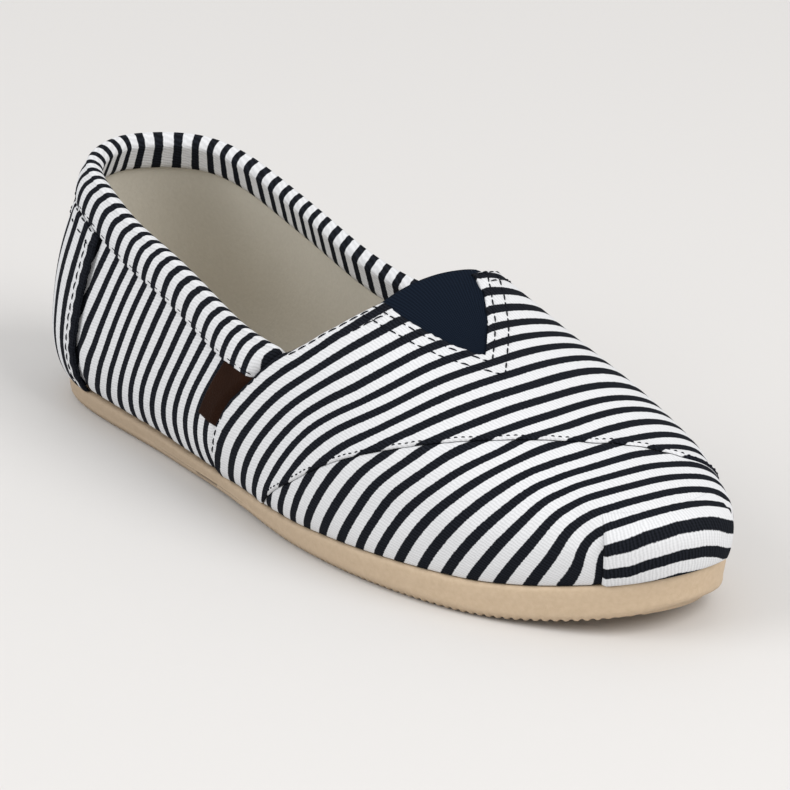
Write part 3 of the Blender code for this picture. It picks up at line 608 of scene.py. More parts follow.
# Ribs of the toe's fan on each side, and how many of them are evened out by the ridge.
TOE_RIBS = 96
TIP_RIBS = 11
# Rise whose normal the cloth by the ridge's front end shares, and radius of the patch there.
TIP_RISE = 0.95
TIP_PATCH = 0.8 * MM
# How far round the toe the keel is evened out, in arc, and how many times.
NOSE_REACH = 0.010
NOSE_ROUNDS = 90

# How far a quarter's stripes lean, mm: height (rows), station at height 20 (columns).
QUARTER_LEAN_AT = (35, 57, 82)
QUARTER_LEAN = (
    (0, -10.5, -7.0, -3.2),
    (5, -8.0, -5.7, -2.8),
    (10, -4.8, -4.0, -2.7),
    (15, -2.5, -2.0, -1.8),
    (20, 0.0, 0.0, 0.0),
    (25, 1.9, 2.0, 2.4),
    (30, 4.0, 3.8, 5.1),
    (40, 8.1, 7.3, 9.4),
    (60, 16.0, 14.5, 18.0),
)
# The quarter's stripes at that height: station and count.
QUARTER_COUNTS = (
    (35.2, -3.87), (40.8, -2.88), (46.3, -1.88), (57.0, 0.11), (67.9, 2.11), (79.3, 4.09),
    (91.1, 6.04),
)


def seam_height(x):
    """Height of the vamp's rear seam at a station, the inverse of its side view."""
    column = columns_of(SEAM, SEAM_COLUMNS)
    ahead = np.clip(np.asarray(x, float) - column["station"][-1], 0, None)
    return np.interp(x, column["station"], column["height"]) + SEAM_CLIMB * ahead


def rise_at(side, arc, height):
    """Rise at which each rib reaches its height, or 1 where it never does."""
    low = np.zeros(len(arc))
    high = np.ones(len(arc))
    closed = skin(side, arc, high)[:, 2] <= height + TINY
    for _ in range(HALVINGS):
        middle = 0.5 * (low + high)
        under = skin(side, arc, middle)[:, 2] < height
        low = np.where(under, middle, low)
        high = np.where(under, high, middle)
    return np.where(closed, 1.0, high)


def rise_under(side, arc, height_of):
    """Rise at which each rib meets a line given as its height at x."""
    rise = rise_at(side, arc, height_of(outline_at(side, arc)[0][:, 0]))
    for _ in range(3):
        rise = rise_at(side, arc, height_of(skin(side, arc, rise)[:, 0]))
    return rise


def arc_of(side, t):
    """Arc of a rib: t is 0 at the toe tip, 1 and 2 where the fans start, 3 at the heel."""
    t = np.asarray(t, float)
    toe_arc = arc_at(side, TOE_FAN_START)
    heel_arc = arc_at(side, HEEL_FAN_START)
    x = TOE_FAN_START + (HEEL_FAN_START - TOE_FAN_START) * np.clip(t - 1, 0, 1)
    ahead = np.where(t < 2, arc_at(side, x), heel_arc + (1 - heel_arc) * np.clip(t - 2, 0, 1))
    return np.where(t < 1, toe_arc * np.clip(t, 0, 1), ahead)


def by_side(surface, side, *places):
    """A surface of one side, worked out where the side differs from point to point."""
    side, *places = np.broadcast_arrays(side, *places)
    points = np.zeros(side.shape + (3,))
    for one in SIDES:
        here = side == one
        if here.any():
            points[here] = surface(one, *[values[here] for values in places])
    return points


def on_last(side, arc, rise, offset=0.0):
    """last_surface where the side differs from point to point."""
    return by_side(last_surface, side, arc, rise, offset)


# ---- the chart: station and girth -------------------------------------------------
STATIONS = np.arange(80, 252) * MM
ACROSS = np.linspace(-1, 1, 321)


def chart_tables():
    """Girth from the centre line, and rib, at each station and place across."""
    t = np.linspace(0, 3, 1201)
    half = len(ACROSS) // 2
    grid = np.zeros((len(t), len(ACROSS), 3))
    for side, part in ((LATERAL, slice(0, half + 1)), (MEDIAL, slice(half + 1, None))):
        rise = 1 - np.abs(ACROSS[part])
        grid[:, part] = skin(side, arc_of(side, t)[:, None], rise[None, :])
    centre_x, centre_y = np.array(CENTRE_LINE).T * MM
    girth = np.zeros((len(STATIONS), len(ACROSS)))
    rib_at = np.zeros_like(girth)
    for i, x in enumerate(STATIONS):
        points = np.full((len(ACROSS), 3), np.nan)
        for j, column in enumerate(grid.transpose(1, 0, 2)):
            if column[-1, 0] < x <= column[0, 0]:
                wanted = (column[:, 1], column[:, 2], t)
                points[j] = [np.interp(-x, -column[:, 0], values) for values in wanted]
        good = ~np.isnan(points[:, 0])
        y, z, rib_here = points[good].T
        run = np.concatenate([[0], np.cumsum(np.hypot(np.diff(y), np.diff(z)))])
        middle = np.interp(x, centre_x, centre_y)
        k = int(np.argmax(y > middle))
        share = (middle - y[k - 1]) / (y[k] - y[k - 1])
        run -= run[k - 1] + share * (run[k] - run[k - 1])
        girth[i] = np.interp(ACROSS, ACROSS[good], run)
        rib_at[i] = np.interp(ACROSS, ACROSS[good], rib_here)
    return girth, rib_at


def look_up(table, x, across):
    """A value of a chart table between its stations and places across."""
    u = np.clip((x - STATIONS[0]) / (STATIONS[1] - STATIONS[0]), 0, len(STATIONS) - 1.001)
    v = np.clip((across + 1) / 2 * (len(ACROSS) - 1), 0, len(ACROSS) - 1.001)
    i = u.astype(int)
    j = v.astype(int)
    u = u - i
    v = v - j
    near = table[i, j] * (1 - v) + table[i, j + 1] * v
    far = table[i + 1, j] * (1 - v) + table[i + 1, j + 1] * v
    return near * (1 - u) + far * u


def chart_of(side, arc, rise):
    """Station and girth, millimetres, of places on the last."""
    x = by_side(skin, side, arc, rise)[..., 0]
    return x / MM, look_up(GIRTH, x, side * (1 - rise)) / MM


def from_chart(x, s):
    """Side, arc and rise of places given by station and girth in millimetres."""
    x = np.asarray(x, float) * MM
    s = np.asarray(s, float) * MM
    across = np.zeros(len(x))
    for n in range(len(x)):
        row = look_up(GIRTH, np.full(len(ACROSS), x[n]), ACROSS)
        across[n] = np.interp(s[n], row, ACROSS)
    side = np.where(across < 0, LATERAL, MEDIAL)
    t = look_up(RIB_AT, x, across)
    arc = np.where(side == LATERAL, arc_of(LATERAL, t), arc_of(MEDIAL, t))
    return side, arc, 1 - np.abs(across)


def girths_up(side, arc, levels):
    """Girth, millimetres, from the feather line up each rib to the levels."""
    side = np.reshape(side, (-1, 1))
    points = by_side(skin, side, np.asarray(arc, float)[:, None], levels[None, :])
    run = np.linalg.norm(np.diff(points, axis=1), axis=2)
    return np.concatenate([np.zeros((len(run), 1)), np.cumsum(run, axis=1)], axis=1) / MM


def rise_lengths(side, arc, rise):
    """Girth, millimetres, from the feather line to each rise of each rib."""
    levels = np.linspace(0, 1, 121)
    girths = girths_up(side, arc, levels)
    return np.array([np.interp(wanted, levels, girth) for wanted, girth in zip(rise, girths)])


def rises_of_heights(side, arc, heights):
    """Rise of each rib at girths from the feather line, millimetres."""
    levels = np.linspace(0, 1, 161)
    girths = girths_up(side, arc, levels)
    return np.array([np.interp(wanted, girth, levels) for wanted, girth in zip(heights, girths)])


# ---- stripes ----------------------------------------------------------------------
# A stripe field is a number that is whole on each navy stripe's middle line.


def by_columns(table, at, x0, s):
    """A table's value at girth s (rows) and centre-line station x0 (columns)."""
    table = np.array(table, float)
    columns = [natural_spline(table[:, 0], table[:, n + 1])(s) for n in range(len(at))]
    value = columns[0] + 0 * x0
    for n in range(len(at) - 1):
        share = np.clip((x0 - at[n]) / (at[n + 1] - at[n]), 0, 1)
        value = value + share * (columns[n + 1] - columns[n])
    return value


def counted(table, x):
    """Stripe count at x from a table of (place, count), carried on past both ends."""
    places, counts = np.array(table, float).T
    count = np.interp(x, places, counts)
    before = np.minimum(x - places[0], 0) * (counts[1] - counts[0]) / (places[1] - places[0])
    after = np.maximum(x - places[-1], 0) * (counts[-1] - counts[-2]) / (places[-1] - places[-2])
    return count + before + after


def drifted(table, at, counts, x, s, rounds=14):
    """Stripe field of a panel whose stripes drift from straight across."""
    x0 = np.array(x, float)
    for _ in range(rounds):
        x0 = x - by_columns(table, at, x0, s)
    return counted(counts, x0)


def vamp_stripes(x, s):
    """Stripe field of the vamp from places on the chart."""
    return drifted(VAMP_DRIFT, VAMP_DRIFT_AT, VAMP_COUNTS, x, s)


def toe_stripes(x, s):
    """Stripe field of the toe panel, as far as it runs across."""
    return drifted(TOE_DRIFT, TOE_DRIFT_AT, TOE_COUNTS, x, s)


def front_stripes(places, x, s, height):
    """Stripe field of the toe panel: across, and level on the front above the fold."""
    columns = columns_of(FLAP_LINES, FLAP_LINE_COLUMNS)
    top = np.interp(places, columns["arc"], columns["top"])[:, None]
    pitch = np.interp(places, columns["arc"], columns["pitch"])[:, None]
    level = FLAP_TOP_COUNT + (top - height) / pitch
    across = toe_stripes(x, s)
    share = 1 - smooth(height - top, -4.5, 1.0)
    share = share * (1 - smooth(places, FLAP_MEDIAL, FLAP_MEDIAL + 0.055))[:, None]
    return across + share * (level - across)


def quarter_stripes(x, height):
    """Stripe field of a quarter: x in mm, height = girth up from the feather line, mm."""
    return drifted(QUARTER_LEAN, QUARTER_LEAN_AT, QUARTER_COUNTS, x, height, rounds=8)


def smooth(value, low, high):
    """0 below low, 1 above high and a soft step between."""
    u = np.clip((value - low) / (high - low), 0, 1)
    return u * u * (3 - 2 * u)


def bump(value, width):
    """1 at zero, falling softly to nothing."""
    return np.exp(-(value / width) ** 2)


def placement():
    """From the shoe's own frame to the CAD's, read off the outsole."""
    low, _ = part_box("outsole")
    arcs = np.linspace(0, 1, SOLE_STEPS + 1)
    ring = np.concatenate([outline_at(side, arcs)[0] for side in SIDES])
    return np.array([low[0] - ring[:, 0].min(), low[1] - ring[:, 1].min(), low[2]])


PLACE = placement()
GIRTH, RIB_AT = chart_tables()

# ---- meshes -----------------------------------------------------------------------


def grid_faces(columns, rows, start=0, around=False, flip=False):
    """Quads of a grid stored column by column; around closes it across the rows."""
    last = rows if around else rows - 1
    c, r = np.meshgrid(np.arange(columns - 1), np.arange(last), indexing="ij")
    after = (r + 1) % rows
    near = c * rows
    far = near + rows
    quads = np.stack([near + r, far + r, far + after, near + after], axis=-1)
    quads = quads.reshape(-1, 4) + start
    return [tuple(q[::-1] if flip else q) for q in quads.tolist()]


def make_piece(name, vertices, faces, material, slot, fields=None, merge=1e-6, cut=None):
    """A mesh piece that rides on the shoe, with its per-point fields."""
    mesh = bpy.data.meshes.new(name)
    mesh.from_pydata((np.asarray(vertices) + PLACE).tolist(), [], faces)
    for label, values in (fields or {}).items():
        values = np.asarray(values, float)
        kind, key = ("FLOAT", "value") if values.ndim == 1 else ("FLOAT_VECTOR", "vector")
        layer = mesh.attributes.new(label, kind, "POINT")
        layer.data.foreach_set(key, values.ravel())
    work = bmesh.new()
    work.from_mesh(mesh)
    bmesh.ops.remove_doubles(work, verts=work.verts, dist=merge)
    if cut is not None:
        cut(work)
    bmesh.ops.recalc_face_normals(work, faces=work.faces)
    work.to_mesh(mesh)
    work.free()
    mesh.shade_smooth()
    mesh.materials.append(material)
    thing = bpy.data.objects.new(name, mesh)
    bpy.context.scene.collection.objects.link(thing)
    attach(thing, "root")
    return thing


def thicken(thing, thickness):
    """Give a sheet its thickness, inwards, with a rounded rim."""
    solid = thing.modifiers.new("cloth", "SOLIDIFY")
    solid.thickness = thickness
    solid.offset = -1
    solid.use_rim = True
    return thing


def face_out(thing, inside):
    """Turn an open sheet's faces away from a place inside the shoe."""
    mesh = thing.data
    polygon = max(mesh.polygons, key=lambda p: p.center[2])
    if polygon.normal.dot(polygon.center - Vector(PLACE + np.array(inside))) < 0:
        mesh.flip_normals()


def make_sheet(name, points, material, slot, fields, inside, thickness, **options):
    """Cloth from a grid of points: its faces turned outwards, its thickness inwards."""
    faces = grid_faces(*points.shape[:2])
    sheet = make_piece(name, points.reshape(-1, 3), faces, material, slot, fields, **options)
    face_out(sheet, inside)
    return thicken(sheet, thickness)


def slab_faces(columns, rows):
    """Faces of an outer grid, of an inner one stored after it, and of the rim between."""
    count = columns * rows
    faces = grid_faces(columns, rows) + grid_faces(columns, rows, start=count, flip=True)
    ring = list(range(rows)) + [c * rows + rows - 1 for c in range(1, columns)]
    ring += [(columns - 1) * rows + r for r in range(rows - 2, -1, -1)]
    ring += [c * rows for c in range(columns - 2, 0, -1)]
    for a, b in zip(ring, ring[1:] + ring[:1]):
        faces.append((b, a, a + count, b + count))
    return faces


def stretches(*parts):
    """Even steps over stretches of (first, last, count) that follow each other."""
    steps = [np.linspace(*part) for part in parts]
    return np.concatenate(steps[:1] + [step[1:] for step in steps[1:]])


def up_the_ribs(side, arc, rise):
    """Side and arc of each rib, repeated up its rows."""
    sides = np.broadcast_to(np.reshape(side, (-1, 1)), rise.shape)
    return sides, np.broadcast_to(arc[:, None], rise.shape)


def round_the_heel(lateral, medial):
    """Both sides' ribs, stored front to heel, as one row round the heel."""
    return np.concatenate([lateral, medial[::-1][1:]])


# ---- stitches ---------------------------------------------------------------------
# Rings along one stitch and sides round it.
STITCH_RINGS = 5
STITCH_SIDES = 6


def resample(points, step):
    """The points of a path, one each step along it."""
    points = np.asarray(points, float)
    steps = np.linalg.norm(np.diff(points[:, :3], axis=0), axis=1)
    run = np.concatenate([[0], np.cumsum(steps)])
    at = np.arange(0, run[-1], step)
    return np.stack([np.interp(at, run, points[:, n]) for n in range(points.shape[1])], axis=1)


def stitches(paths, length=STITCH, gap=STITCH_GAP, radius=THREAD):
    """Vertices and faces of the thread along paths of points with normals, six columns."""
    vertices = []
    faces = []
    turn = np.linspace(0, 2 * np.pi, STITCH_SIDES, endpoint=False)
    share = np.linspace(-1, 1, STITCH_RINGS)
    for path in paths:
        fine = resample(path, (length + gap) / 4)
        for k in range(0, len(fine) - 4, 4):
            start, middle, end = fine[k], fine[k + 2], fine[k + 4]
            ahead = end[:3] - start[:3]
            ahead /= np.linalg.norm(ahead)
            up = middle[3:] / np.linalg.norm(middle[3:])
            aside = np.cross(ahead, up)
            first = len(vertices)
            for u in share:
                centre = middle[:3] + ahead * u * length / 2
                centre = centre + up * radius * (0.6 - 1.1 * u ** 4)
                size = radius * (1 - 0.35 * u ** 2)
                for a in turn:
                    vertices.append(centre + size * (np.cos(a) * aside + np.sin(a) * up))
            faces += grid_faces(STITCH_RINGS, STITCH_SIDES, start=first, around=True)
            faces.append(tuple(range(first, first + STITCH_SIDES)))
            last = first + (STITCH_RINGS - 1) * STITCH_SIDES
            faces.append(tuple(range(last, last + STITCH_SIDES))[::-1])
    return vertices, faces


def surface_tree(thing):
    """A search tree over a piece's outer faces, in the shoe's own frame."""
    mesh = thing.data
    points = [tuple(v.co - Vector(PLACE)) for v in mesh.vertices]
    return BVHTree.FromPolygons(points, [tuple(p.vertices) for p in mesh.polygons])


def inset_path(tree, points, normals, distance):
    """A path on the surface, a distance to the left of another seen from outside."""
    even = resample(np.concatenate([points, normals], axis=1), 0.0009)
    points, normals = even[:, :3], even[:, 3:]
    along = np.gradient(points, axis=0)
    along /= np.linalg.norm(along, axis=1, keepdims=True) + 1e-12
    moved = points + distance * np.cross(normals, along)
    rows = []
    for point in moved:
        place, normal, _, _ = tree.find_nearest(Vector(point))
        rows.append([*place, *normal])
    return np.array(rows)


def edge_with_normals(side, arc, rise, offset=0.0):
    """A line on the last, or off it, and its outward normals."""
    points = on_last(side, arc, rise, offset)
    normals = on_last(side, arc, rise, offset + MM) - points
    return points, normals / np.linalg.norm(normals, axis=1, keepdims=True)


def distance_to(points, line):
    """How far each point lies from a line given by points along it."""
    flat = np.asarray(points).reshape(-1, 3)
    best = np.full(len(flat), np.inf)
    for start, end in zip(line[:-1], line[1:]):
        step = end - start
        share = np.clip((flat - start) @ step / (step @ step + 1e-15), 0, 1)
        away = flat - start - share[:, None] * step
        best = np.minimum(best, np.einsum("ij,ij->i", away, away))
    return np.sqrt(best).reshape(np.asarray(points).shape[:-1])


# ---- materials --------------------------------------------------------------------


def add(tree, kind, inputs=None, **settings):
    """A node with its settings and inputs; a socket given as input is linked."""
    node = tree.nodes.new(kind)
    for key, value in settings.items():
        setattr(node, key, value)
    for key, value in (inputs or {}).items():
        if isinstance(value, bpy.types.NodeSocket):
            tree.links.new(value, node.inputs[key])
        else:
            node.inputs[key].default_value = value
    return node


def calc(tree, operation, first, second=0.0, third=0.0):
    """The output of a Math node."""
    node = add(tree, "ShaderNodeMath", {0: first, 1: second, 2: third}, operation=operation)
    return node.outputs[0]


def mix(tree, factor, first, second):
    """The output of a colour mix; colours are rgb tuples or sockets."""
    node = tree.nodes.new("ShaderNodeMix")
    node.data_type = "RGBA"
    for key, value in ((0, factor), (6, first), (7, second)):
        if isinstance(value, bpy.types.NodeSocket):
            tree.links.new(value, node.inputs[key])
        elif key == 0:
            node.inputs[0].default_value = value
        else:
            node.inputs[key].default_value = (*value, 1.0)
    return node.outputs[2]


def new_material(name, roughness, specular):
    """A Principled material with its constants set on the shader itself."""
    material = bpy.data.materials.new(name)
    material.use_nodes = True
    shader = material.node_tree.nodes["Principled BSDF"]
    shader.inputs["Roughness"].default_value = roughness
    shader.inputs["Specular IOR Level"].default_value = specular
    return material, material.node_tree, shader


def finish_material(tree, shader, colour, height, distance, strength=1.0):
    """Plug in the colour, and the height as a bump of so many metres."""
    tree.links.new(colour, shader.inputs["Base Color"])
    inputs = {"Height": height, "Distance": distance, "Strength": strength}
    node = add(tree, "ShaderNodeBump", inputs)
    tree.links.new(node.outputs[0], shader.inputs["Normal"])


def object_place(tree):
    """The place on the piece, metres."""
    return add(tree, "ShaderNodeTexCoord").outputs["Object"]


def noise(tree, scale, detail=2.0, vector=None):
    """A noise texture's value; the scale is in patches a metre, or a unit of the vector."""
    vector = object_place(tree) if vector is None else vector
    inputs = {"Scale": scale, "Detail": detail, "Vector": vector}
    return add(tree, "ShaderNodeTexNoise", inputs).outputs[0]


def ramp(tree, value, low, high, **settings):
    """0 where the value is low, 1 where it is high."""
    inputs = {"Value": value, "From Min": low, "From Max": high}
    return add(tree, "ShaderNodeMapRange", inputs, **settings).outputs[0]


def shaded(colour, factor):
    """A colour made darker or lighter."""
    return tuple(factor * part for part in colour)


def weave_parts(tree):
    """The weave field, and its parts along and across the cloth's threads."""
    weave = add(tree, "ShaderNodeAttribute", attribute_name="weave").outputs["Vector"]
    return weave, add(tree, "ShaderNodeSeparateXYZ", {0: weave}).outputs


def waves(tree, value, pitch):
    """A sine of a value, one wave a pitch."""
    return calc(tree, "SINE", calc(tree, "MULTIPLY", value, 2 * np.pi / pitch))


def twill(tree, pitch):
    """A fine diagonal weave from the weave field, 0 to 1, and the field itself."""
    weave, parts = weave_parts(tree)
    slant = calc(tree, "MULTIPLY_ADD", parts[0], TWILL_SLANT, parts[1])
    slant = calc(tree, "MULTIPLY_ADD", noise(tree, 0.7, 1.0, weave), 0.9, slant)
    threads = waves(tree, parts[0], 0.6 * pitch)
    both = calc(tree, "MULTIPLY_ADD", threads, 0.30, waves(tree, slant, pitch))
    return calc(tree, "MULTIPLY_ADD", both, 0.38, 0.5), weave


# How far the weave leans, and its pitch in millimetres.
TWILL_SLANT = -0.15
TWILL_PITCH = 0.95


def striped_canvas(name):
    """Woven stripes: navy where the stripe field is near a whole number."""
    material, tree, shader = new_material(name, 0.95, specular=0.06)
    weave_height, weave = twill(tree, TWILL_PITCH)
    field = add(tree, "ShaderNodeAttribute", attribute_name="stripe").outputs["Fac"]
    frayed = calc(tree, "MULTIPLY_ADD", noise(tree, 1.6, 1.0, weave), 0.07, -0.035)
    field = calc(tree, "ADD", field, frayed)
    away = calc(tree, "ABSOLUTE", calc(tree, "SUBTRACT", field, calc(tree, "ROUND", field)))
    half = NAVY_SHARE / 2
    edge = ramp(tree, away, half - 0.02, half + 0.02, interpolation_type="SMOOTHSTEP")
    patch = noise(tree, 60.0)
    dark = mix(tree, weave_height, shaded(NAVY, 0.55), shaded(NAVY, 1.75))
    light = mix(tree, weave_height, shaded(WHITE, 0.80), WHITE)
    light = mix(tree, calc(tree, "MULTIPLY", patch, 0.20), light, shaded(WHITE, 0.82))
    colour = mix(tree, edge, dark, light)
    finish_material(tree, shader, colour, weave_height, 0.00010, 0.6)
    return material


def plain_cloth(name, colour, shade, grain=900.0, roughness=0.95):
    """Unpatterned cloth with a fine tooth and soft patches."""
    material, tree, shader = new_material(name, roughness, specular=0.06)
    tooth = noise(tree, grain, 3.0)
    patch = noise(tree, 45.0)
    light = calc(tree, "MULTIPLY_ADD", tooth, 0.6, calc(tree, "MULTIPLY", patch, 0.4))
    finish_material(tree, shader, mix(tree, light, shade, colour), tooth, 0.00012)
    return material


def rubber_material():
    """Beige crepe-like rubber: fine grain, faint mottling, painted shade towards the floor and
    towards the heel.
    """
    material, tree, shader = new_material("beige_rubber", 0.62, specular=0.35)
    grain = noise(tree, 2600.0, 2.0)
    speck = noise(tree, 700.0, 3.0)
    patch = noise(tree, 28.0, 3.0)
    place = add(tree, "ShaderNodeSeparateXYZ", {0: object_place(tree)})
    low = ramp(tree, place.outputs[2], 0.0035, 0.0)
    back = ramp(tree, place.outputs[0], 0.08, -0.05)
    base = mix(tree, speck, (0.48, 0.36, 0.235), (0.64, 0.50, 0.355))
    base = mix(tree, calc(tree, "MULTIPLY", patch, 0.35), base, (0.50, 0.39, 0.27))
    # Painted shade: the rubber turns darker towards the heel, where the sole sits in the shade.
    base = mix(tree, calc(tree, "MULTIPLY", back, 0.50), base, (0.27, 0.205, 0.145))
    # Painted shade: the rubber turns darker along its lowest few millimetres, next to the floor.
    colour = mix(tree, calc(tree, "MULTIPLY", low, 0.35), base, (0.26, 0.19, 0.12))
    finish_material(tree, shader, colour, grain, 0.00008)
    return material


def leather_material():
    """Dark brown leather with small pores."""
    material, tree, shader = new_material("brown_leather", 0.7, specular=0.04)
    cells = add(tree, "ShaderNodeTexVoronoi", {"Vector": object_place(tree), "Scale": 1500.0})
    colour = mix(tree, noise(tree, 120.0, 3.0), (0.011, 0.0042, 0.0021), (0.026, 0.0100, 0.0052))
    finish_material(tree, shader, colour, cells.outputs["Distance"], 0.00012)
    return material


def elastic_material():
    """Dark navy elastic, knitted in fine cords that run up the foot."""
    material, tree, shader = new_material("navy_elastic", 0.9, specular=0.05)
    _, parts = weave_parts(tree)
    cord = waves(tree, parts[0], 0.9)
    knit = waves(tree, parts[1], 0.6)
    height = calc(tree, "MULTIPLY_ADD", calc(tree, "MULTIPLY_ADD", knit, 0.4, cord), 0.35, 0.5)
    colour = mix(tree, height, (0.0030, 0.0055, 0.0110), (0.0075, 0.0130, 0.0240))
    finish_material(tree, shader, colour, height, 0.00012)
    return material


NAVY = (0.0080, 0.0093, 0.0128)
WHITE = (0.745, 0.755, 0.775)
NAVY_SHARE = 0.46
CANVAS_CLOTH = striped_canvas("striped_canvas")
BAND_CLOTH = striped_canvas("striped_binding")
COUNTER_CLOTH = striped_canvas("striped_counter")
LINING_CLOTH = plain_cloth("lining_cloth", (0.66, 0.63, 0.56), (0.55, 0.52, 0.45))
FOOTBED_CLOTH = plain_cloth(
    "footbed_cloth", (0.58, 0.52, 0.42), (0.47, 0.41, 0.32), grain=1400.0)
THREAD_CLOTH = plain_cloth(
    "navy_thread", (0.014, 0.016, 0.022), (0.006, 0.007, 0.010), roughness=0.8)
RUBBER = rubber_material()
LEATHER = leather_material()
ELASTIC = elastic_material()


# ---- seams and edges on the last --------------------------------------------------
seam_columns = columns_of(TOE_SEAM, TOE_SEAM_COLUMNS)
toe_seam = natural_spline(seam_columns["place"], seam_columns["rise"])
SEAM_START = seam_columns["place"][0]
SEAM_END = seam_columns["place"][-1]


def seam_rise(side, arc):
    """Rise of the toe seam on a rib, 0 where the rib doesn't meet it."""
    place = side * np.asarray(arc, float)
    return np.where((place > SEAM_START) & (place < SEAM_END), np.clip(toe_seam(place), 0, 1), 0)


def vamp_top(x):
    """Height of the vamp's upper edge: rear seam, throat, then out of reach."""
    stations, depths = np.array(THROAT_TRIM).T * MM
    throat = throat_line(x) - np.interp(x, stations, depths)
    edge = np.where(x < CORNER_X, seam_height(x), np.minimum(seam_height(x), throat))
    return np.where(x >= THROAT_X - TINY, 1.0, edge)


def signed(places):
    """Side and arc of signed places, negative on the lateral side."""
    places = np.asarray(places, float)
    return np.where(places < 0, LATERAL, MEDIAL), np.abs(places)


def seam_line():
    """Points of the toe seam, close together."""
    places = np.linspace(SEAM_START, SEAM_END, 420)
    side, arc = signed(places)
    return edge_with_normals(side, arc, seam_rise(side, arc))


def rear_line(side):
    """Points of the vamp's rear seam and throat edge on one side, from the sole up."""
    x = np.linspace(0.1021, THROAT_X - TINY, 160)
    arc = arc_at(side, x)
    return edge_with_normals(side, arc, rise_at(side, arc, vamp_top(x)))


def plan_line(corners, count=80):
    """Points on the vamp's skin under a line in plan through the corners, millimetres."""
    corner_x, corner_y = np.array(corners).T
    rows = []
    for x in np.linspace(corner_x[0], corner_x[-1], count):
        rows.append(arc_and_rise(x * MM, float(np.interp(x, corner_x, corner_y)) * MM))
    side, arc, rise = np.array(rows).T
    return edge_with_normals(side.astype(int), arc, rise)


TOE_LINE = seam_line()
REAR_LINES = {side: rear_line(side) for side in SIDES}
V_LINES = [plan_line(V_LEFT), plan_line(V_RIGHT)]
# Where the vamp's rear seam turns into the throat.
V_CORNER = {side: points[int(np.argmin(np.abs(points[:, 0] - 0.127)))]
            for side, (points, _) in REAR_LINES.items()}


def v_edges(margin):
    """The two edges of the V in plan, millimetres, moved outwards by a margin."""
    edges = []
    for corners, side in ((V_LEFT, LATERAL), (V_RIGHT, MEDIAL)):
        edge = np.array(corners, float)
        edge[:, 1] += side * margin
        edge[0, 0] -= 12
        edges.append(edge)
    left, right = edges
    for edge in edges:
        edge[-1] = (left[-1, 0] + 1.2 * margin, 0.5 * (left[-1, 1] + right[-1, 1]))
    return edges


def in_v(x, y, margin=0.0):
    """Whether a place in plan, millimetres, is inside the V of the elastic."""
    left, right = v_edges(margin)
    above = y > np.interp(x, left[:, 0], left[:, 1])
    below = y < np.interp(x, right[:, 0], right[:, 1])
    return above & below & (x < left[-1, 0])


def faces_near(work, start, end, reach):
    """A sheet's faces over a stretch of a line in plan, millimetres, with their edges."""
    step = end - start
    faces = []
    for face in work.faces:
        x, y, z = (np.array(face.calc_center_median()) - PLACE) / MM
        share = ((x - start[0]) * step[0] + (y - start[1]) * step[1]) / (step @ step)
        share = np.clip(share, 0, 1)
        away = np.hypot(x - start[0] - share * step[0], y - start[1] - share * step[1])
        if z > V_FLOOR and away < reach:
            faces.append(face)
    edges = {edge for face in faces for edge in face.edges}
    corners = {corner for face in faces for corner in face.verts}
    return faces + list(edges) + list(corners)


def cut_v(work, margin=0.0):
    """Cuts the V out of a sheet, wider by a margin in millimetres."""
    for edge in v_edges(margin):
        for start, end in zip(edge[:-1], edge[1:]):
            along = np.array([*(end - start), 0])
            bmesh.ops.bisect_plane(
                work, geom=faces_near(work, start, end, V_CUT_REACH), dist=1e-6,
                plane_co=np.array([*start, 0]) * MM + PLACE, plane_no=np.cross(along, (0, 0, 1)))
    gone = []
    for face in work.faces:
        x, y, z = (np.array(face.calc_center_median()) - PLACE) / MM
        if z > V_FLOOR and x > V_BACK and in_v(x, y, margin):
            gone.append(face)
    bmesh.ops.delete(work, geom=gone, context="FACES")


# Where a sheet is cut at all, millimetres: near the V's edges, above and ahead of these.
V_CUT_REACH = 3.0
V_FLOOR = 45
V_BACK = 130
# How much wider the lining's V is than the canvas's, millimetres.
LINING_V_MARGIN = 3.0


def cut_vamp(work):
    """Mends the ridge's front end, then cuts out the V."""
    patch_tip(work)
    cut_v(work)


def cut_lining(work):
    """Cuts out the V, a little wider than the canvas over it."""
    cut_v(work, LINING_V_MARGIN)


def creases(x, s):
    """Soft troughs and ridges of the worn cloth, metres, from places on the chart."""
    total = np.zeros(np.shape(x))
    for x0, s0, x1, s1, width, depth in CREASES:
        along = np.array([x1 - x0, s1 - s0], float)
        length = np.hypot(*along)
        along /= length
        run = (x - x0) * along[0] + (s - s0) * along[1]
        off = (x - x0) * along[1] - (s - s0) * along[0]
        fade = smooth(run, -0.25 * length, 0.2 * length)
        fade = fade * (1 - smooth(run, 0.7 * length, 1.2 * length))
        total += depth * MM * fade * bump(off, width)
    ripple = 0.09 * np.sin(x / 7.3 + s / 11.0) * np.sin(s / 8.1 - 1.3)
    ripple = ripple + 0.06 * np.sin(x / 4.1 - s / 6.7 + 2.0)
    return total + ripple * MM


# Each crease on the chart, millimetres: from x, s to x, s, width, height over the cloth.
CREASES = (
    (240, -33, 214, -25, 2.6, -0.25),
    (241, -27, 222, -21, 3.0, 0.15),
    (196, -58, 172, -74, 4.5, -0.55),
    (206, -52, 186, -70, 4.0, 0.35),
    (160, -44, 148, -62, 5.0, -0.5),
    (176, -22, 186, 18, 6.0, -0.4),
    (190, -30, 196, 24, 5.0, -0.35),
    (152, 24, 140, 48, 5.0, -0.5),
    (198, 44, 180, 56, 4.0, -0.5),
    (238, 32, 222, 26, 2.8, -0.6),
)


# ---- the canvas panels ------------------------------------------------------------


def flat_fields(stripe, second):
    """The stripe field and the weave's two directions, millimetres."""
    stripe = np.asarray(stripe, float)
    second = np.broadcast_to(second, stripe.shape)
    weave = np.stack([stripe * STRIPE_PITCH, second, 0 * stripe], axis=-1)
    return {"stripe": stripe.ravel(), "weave": weave.reshape(-1, 3)}


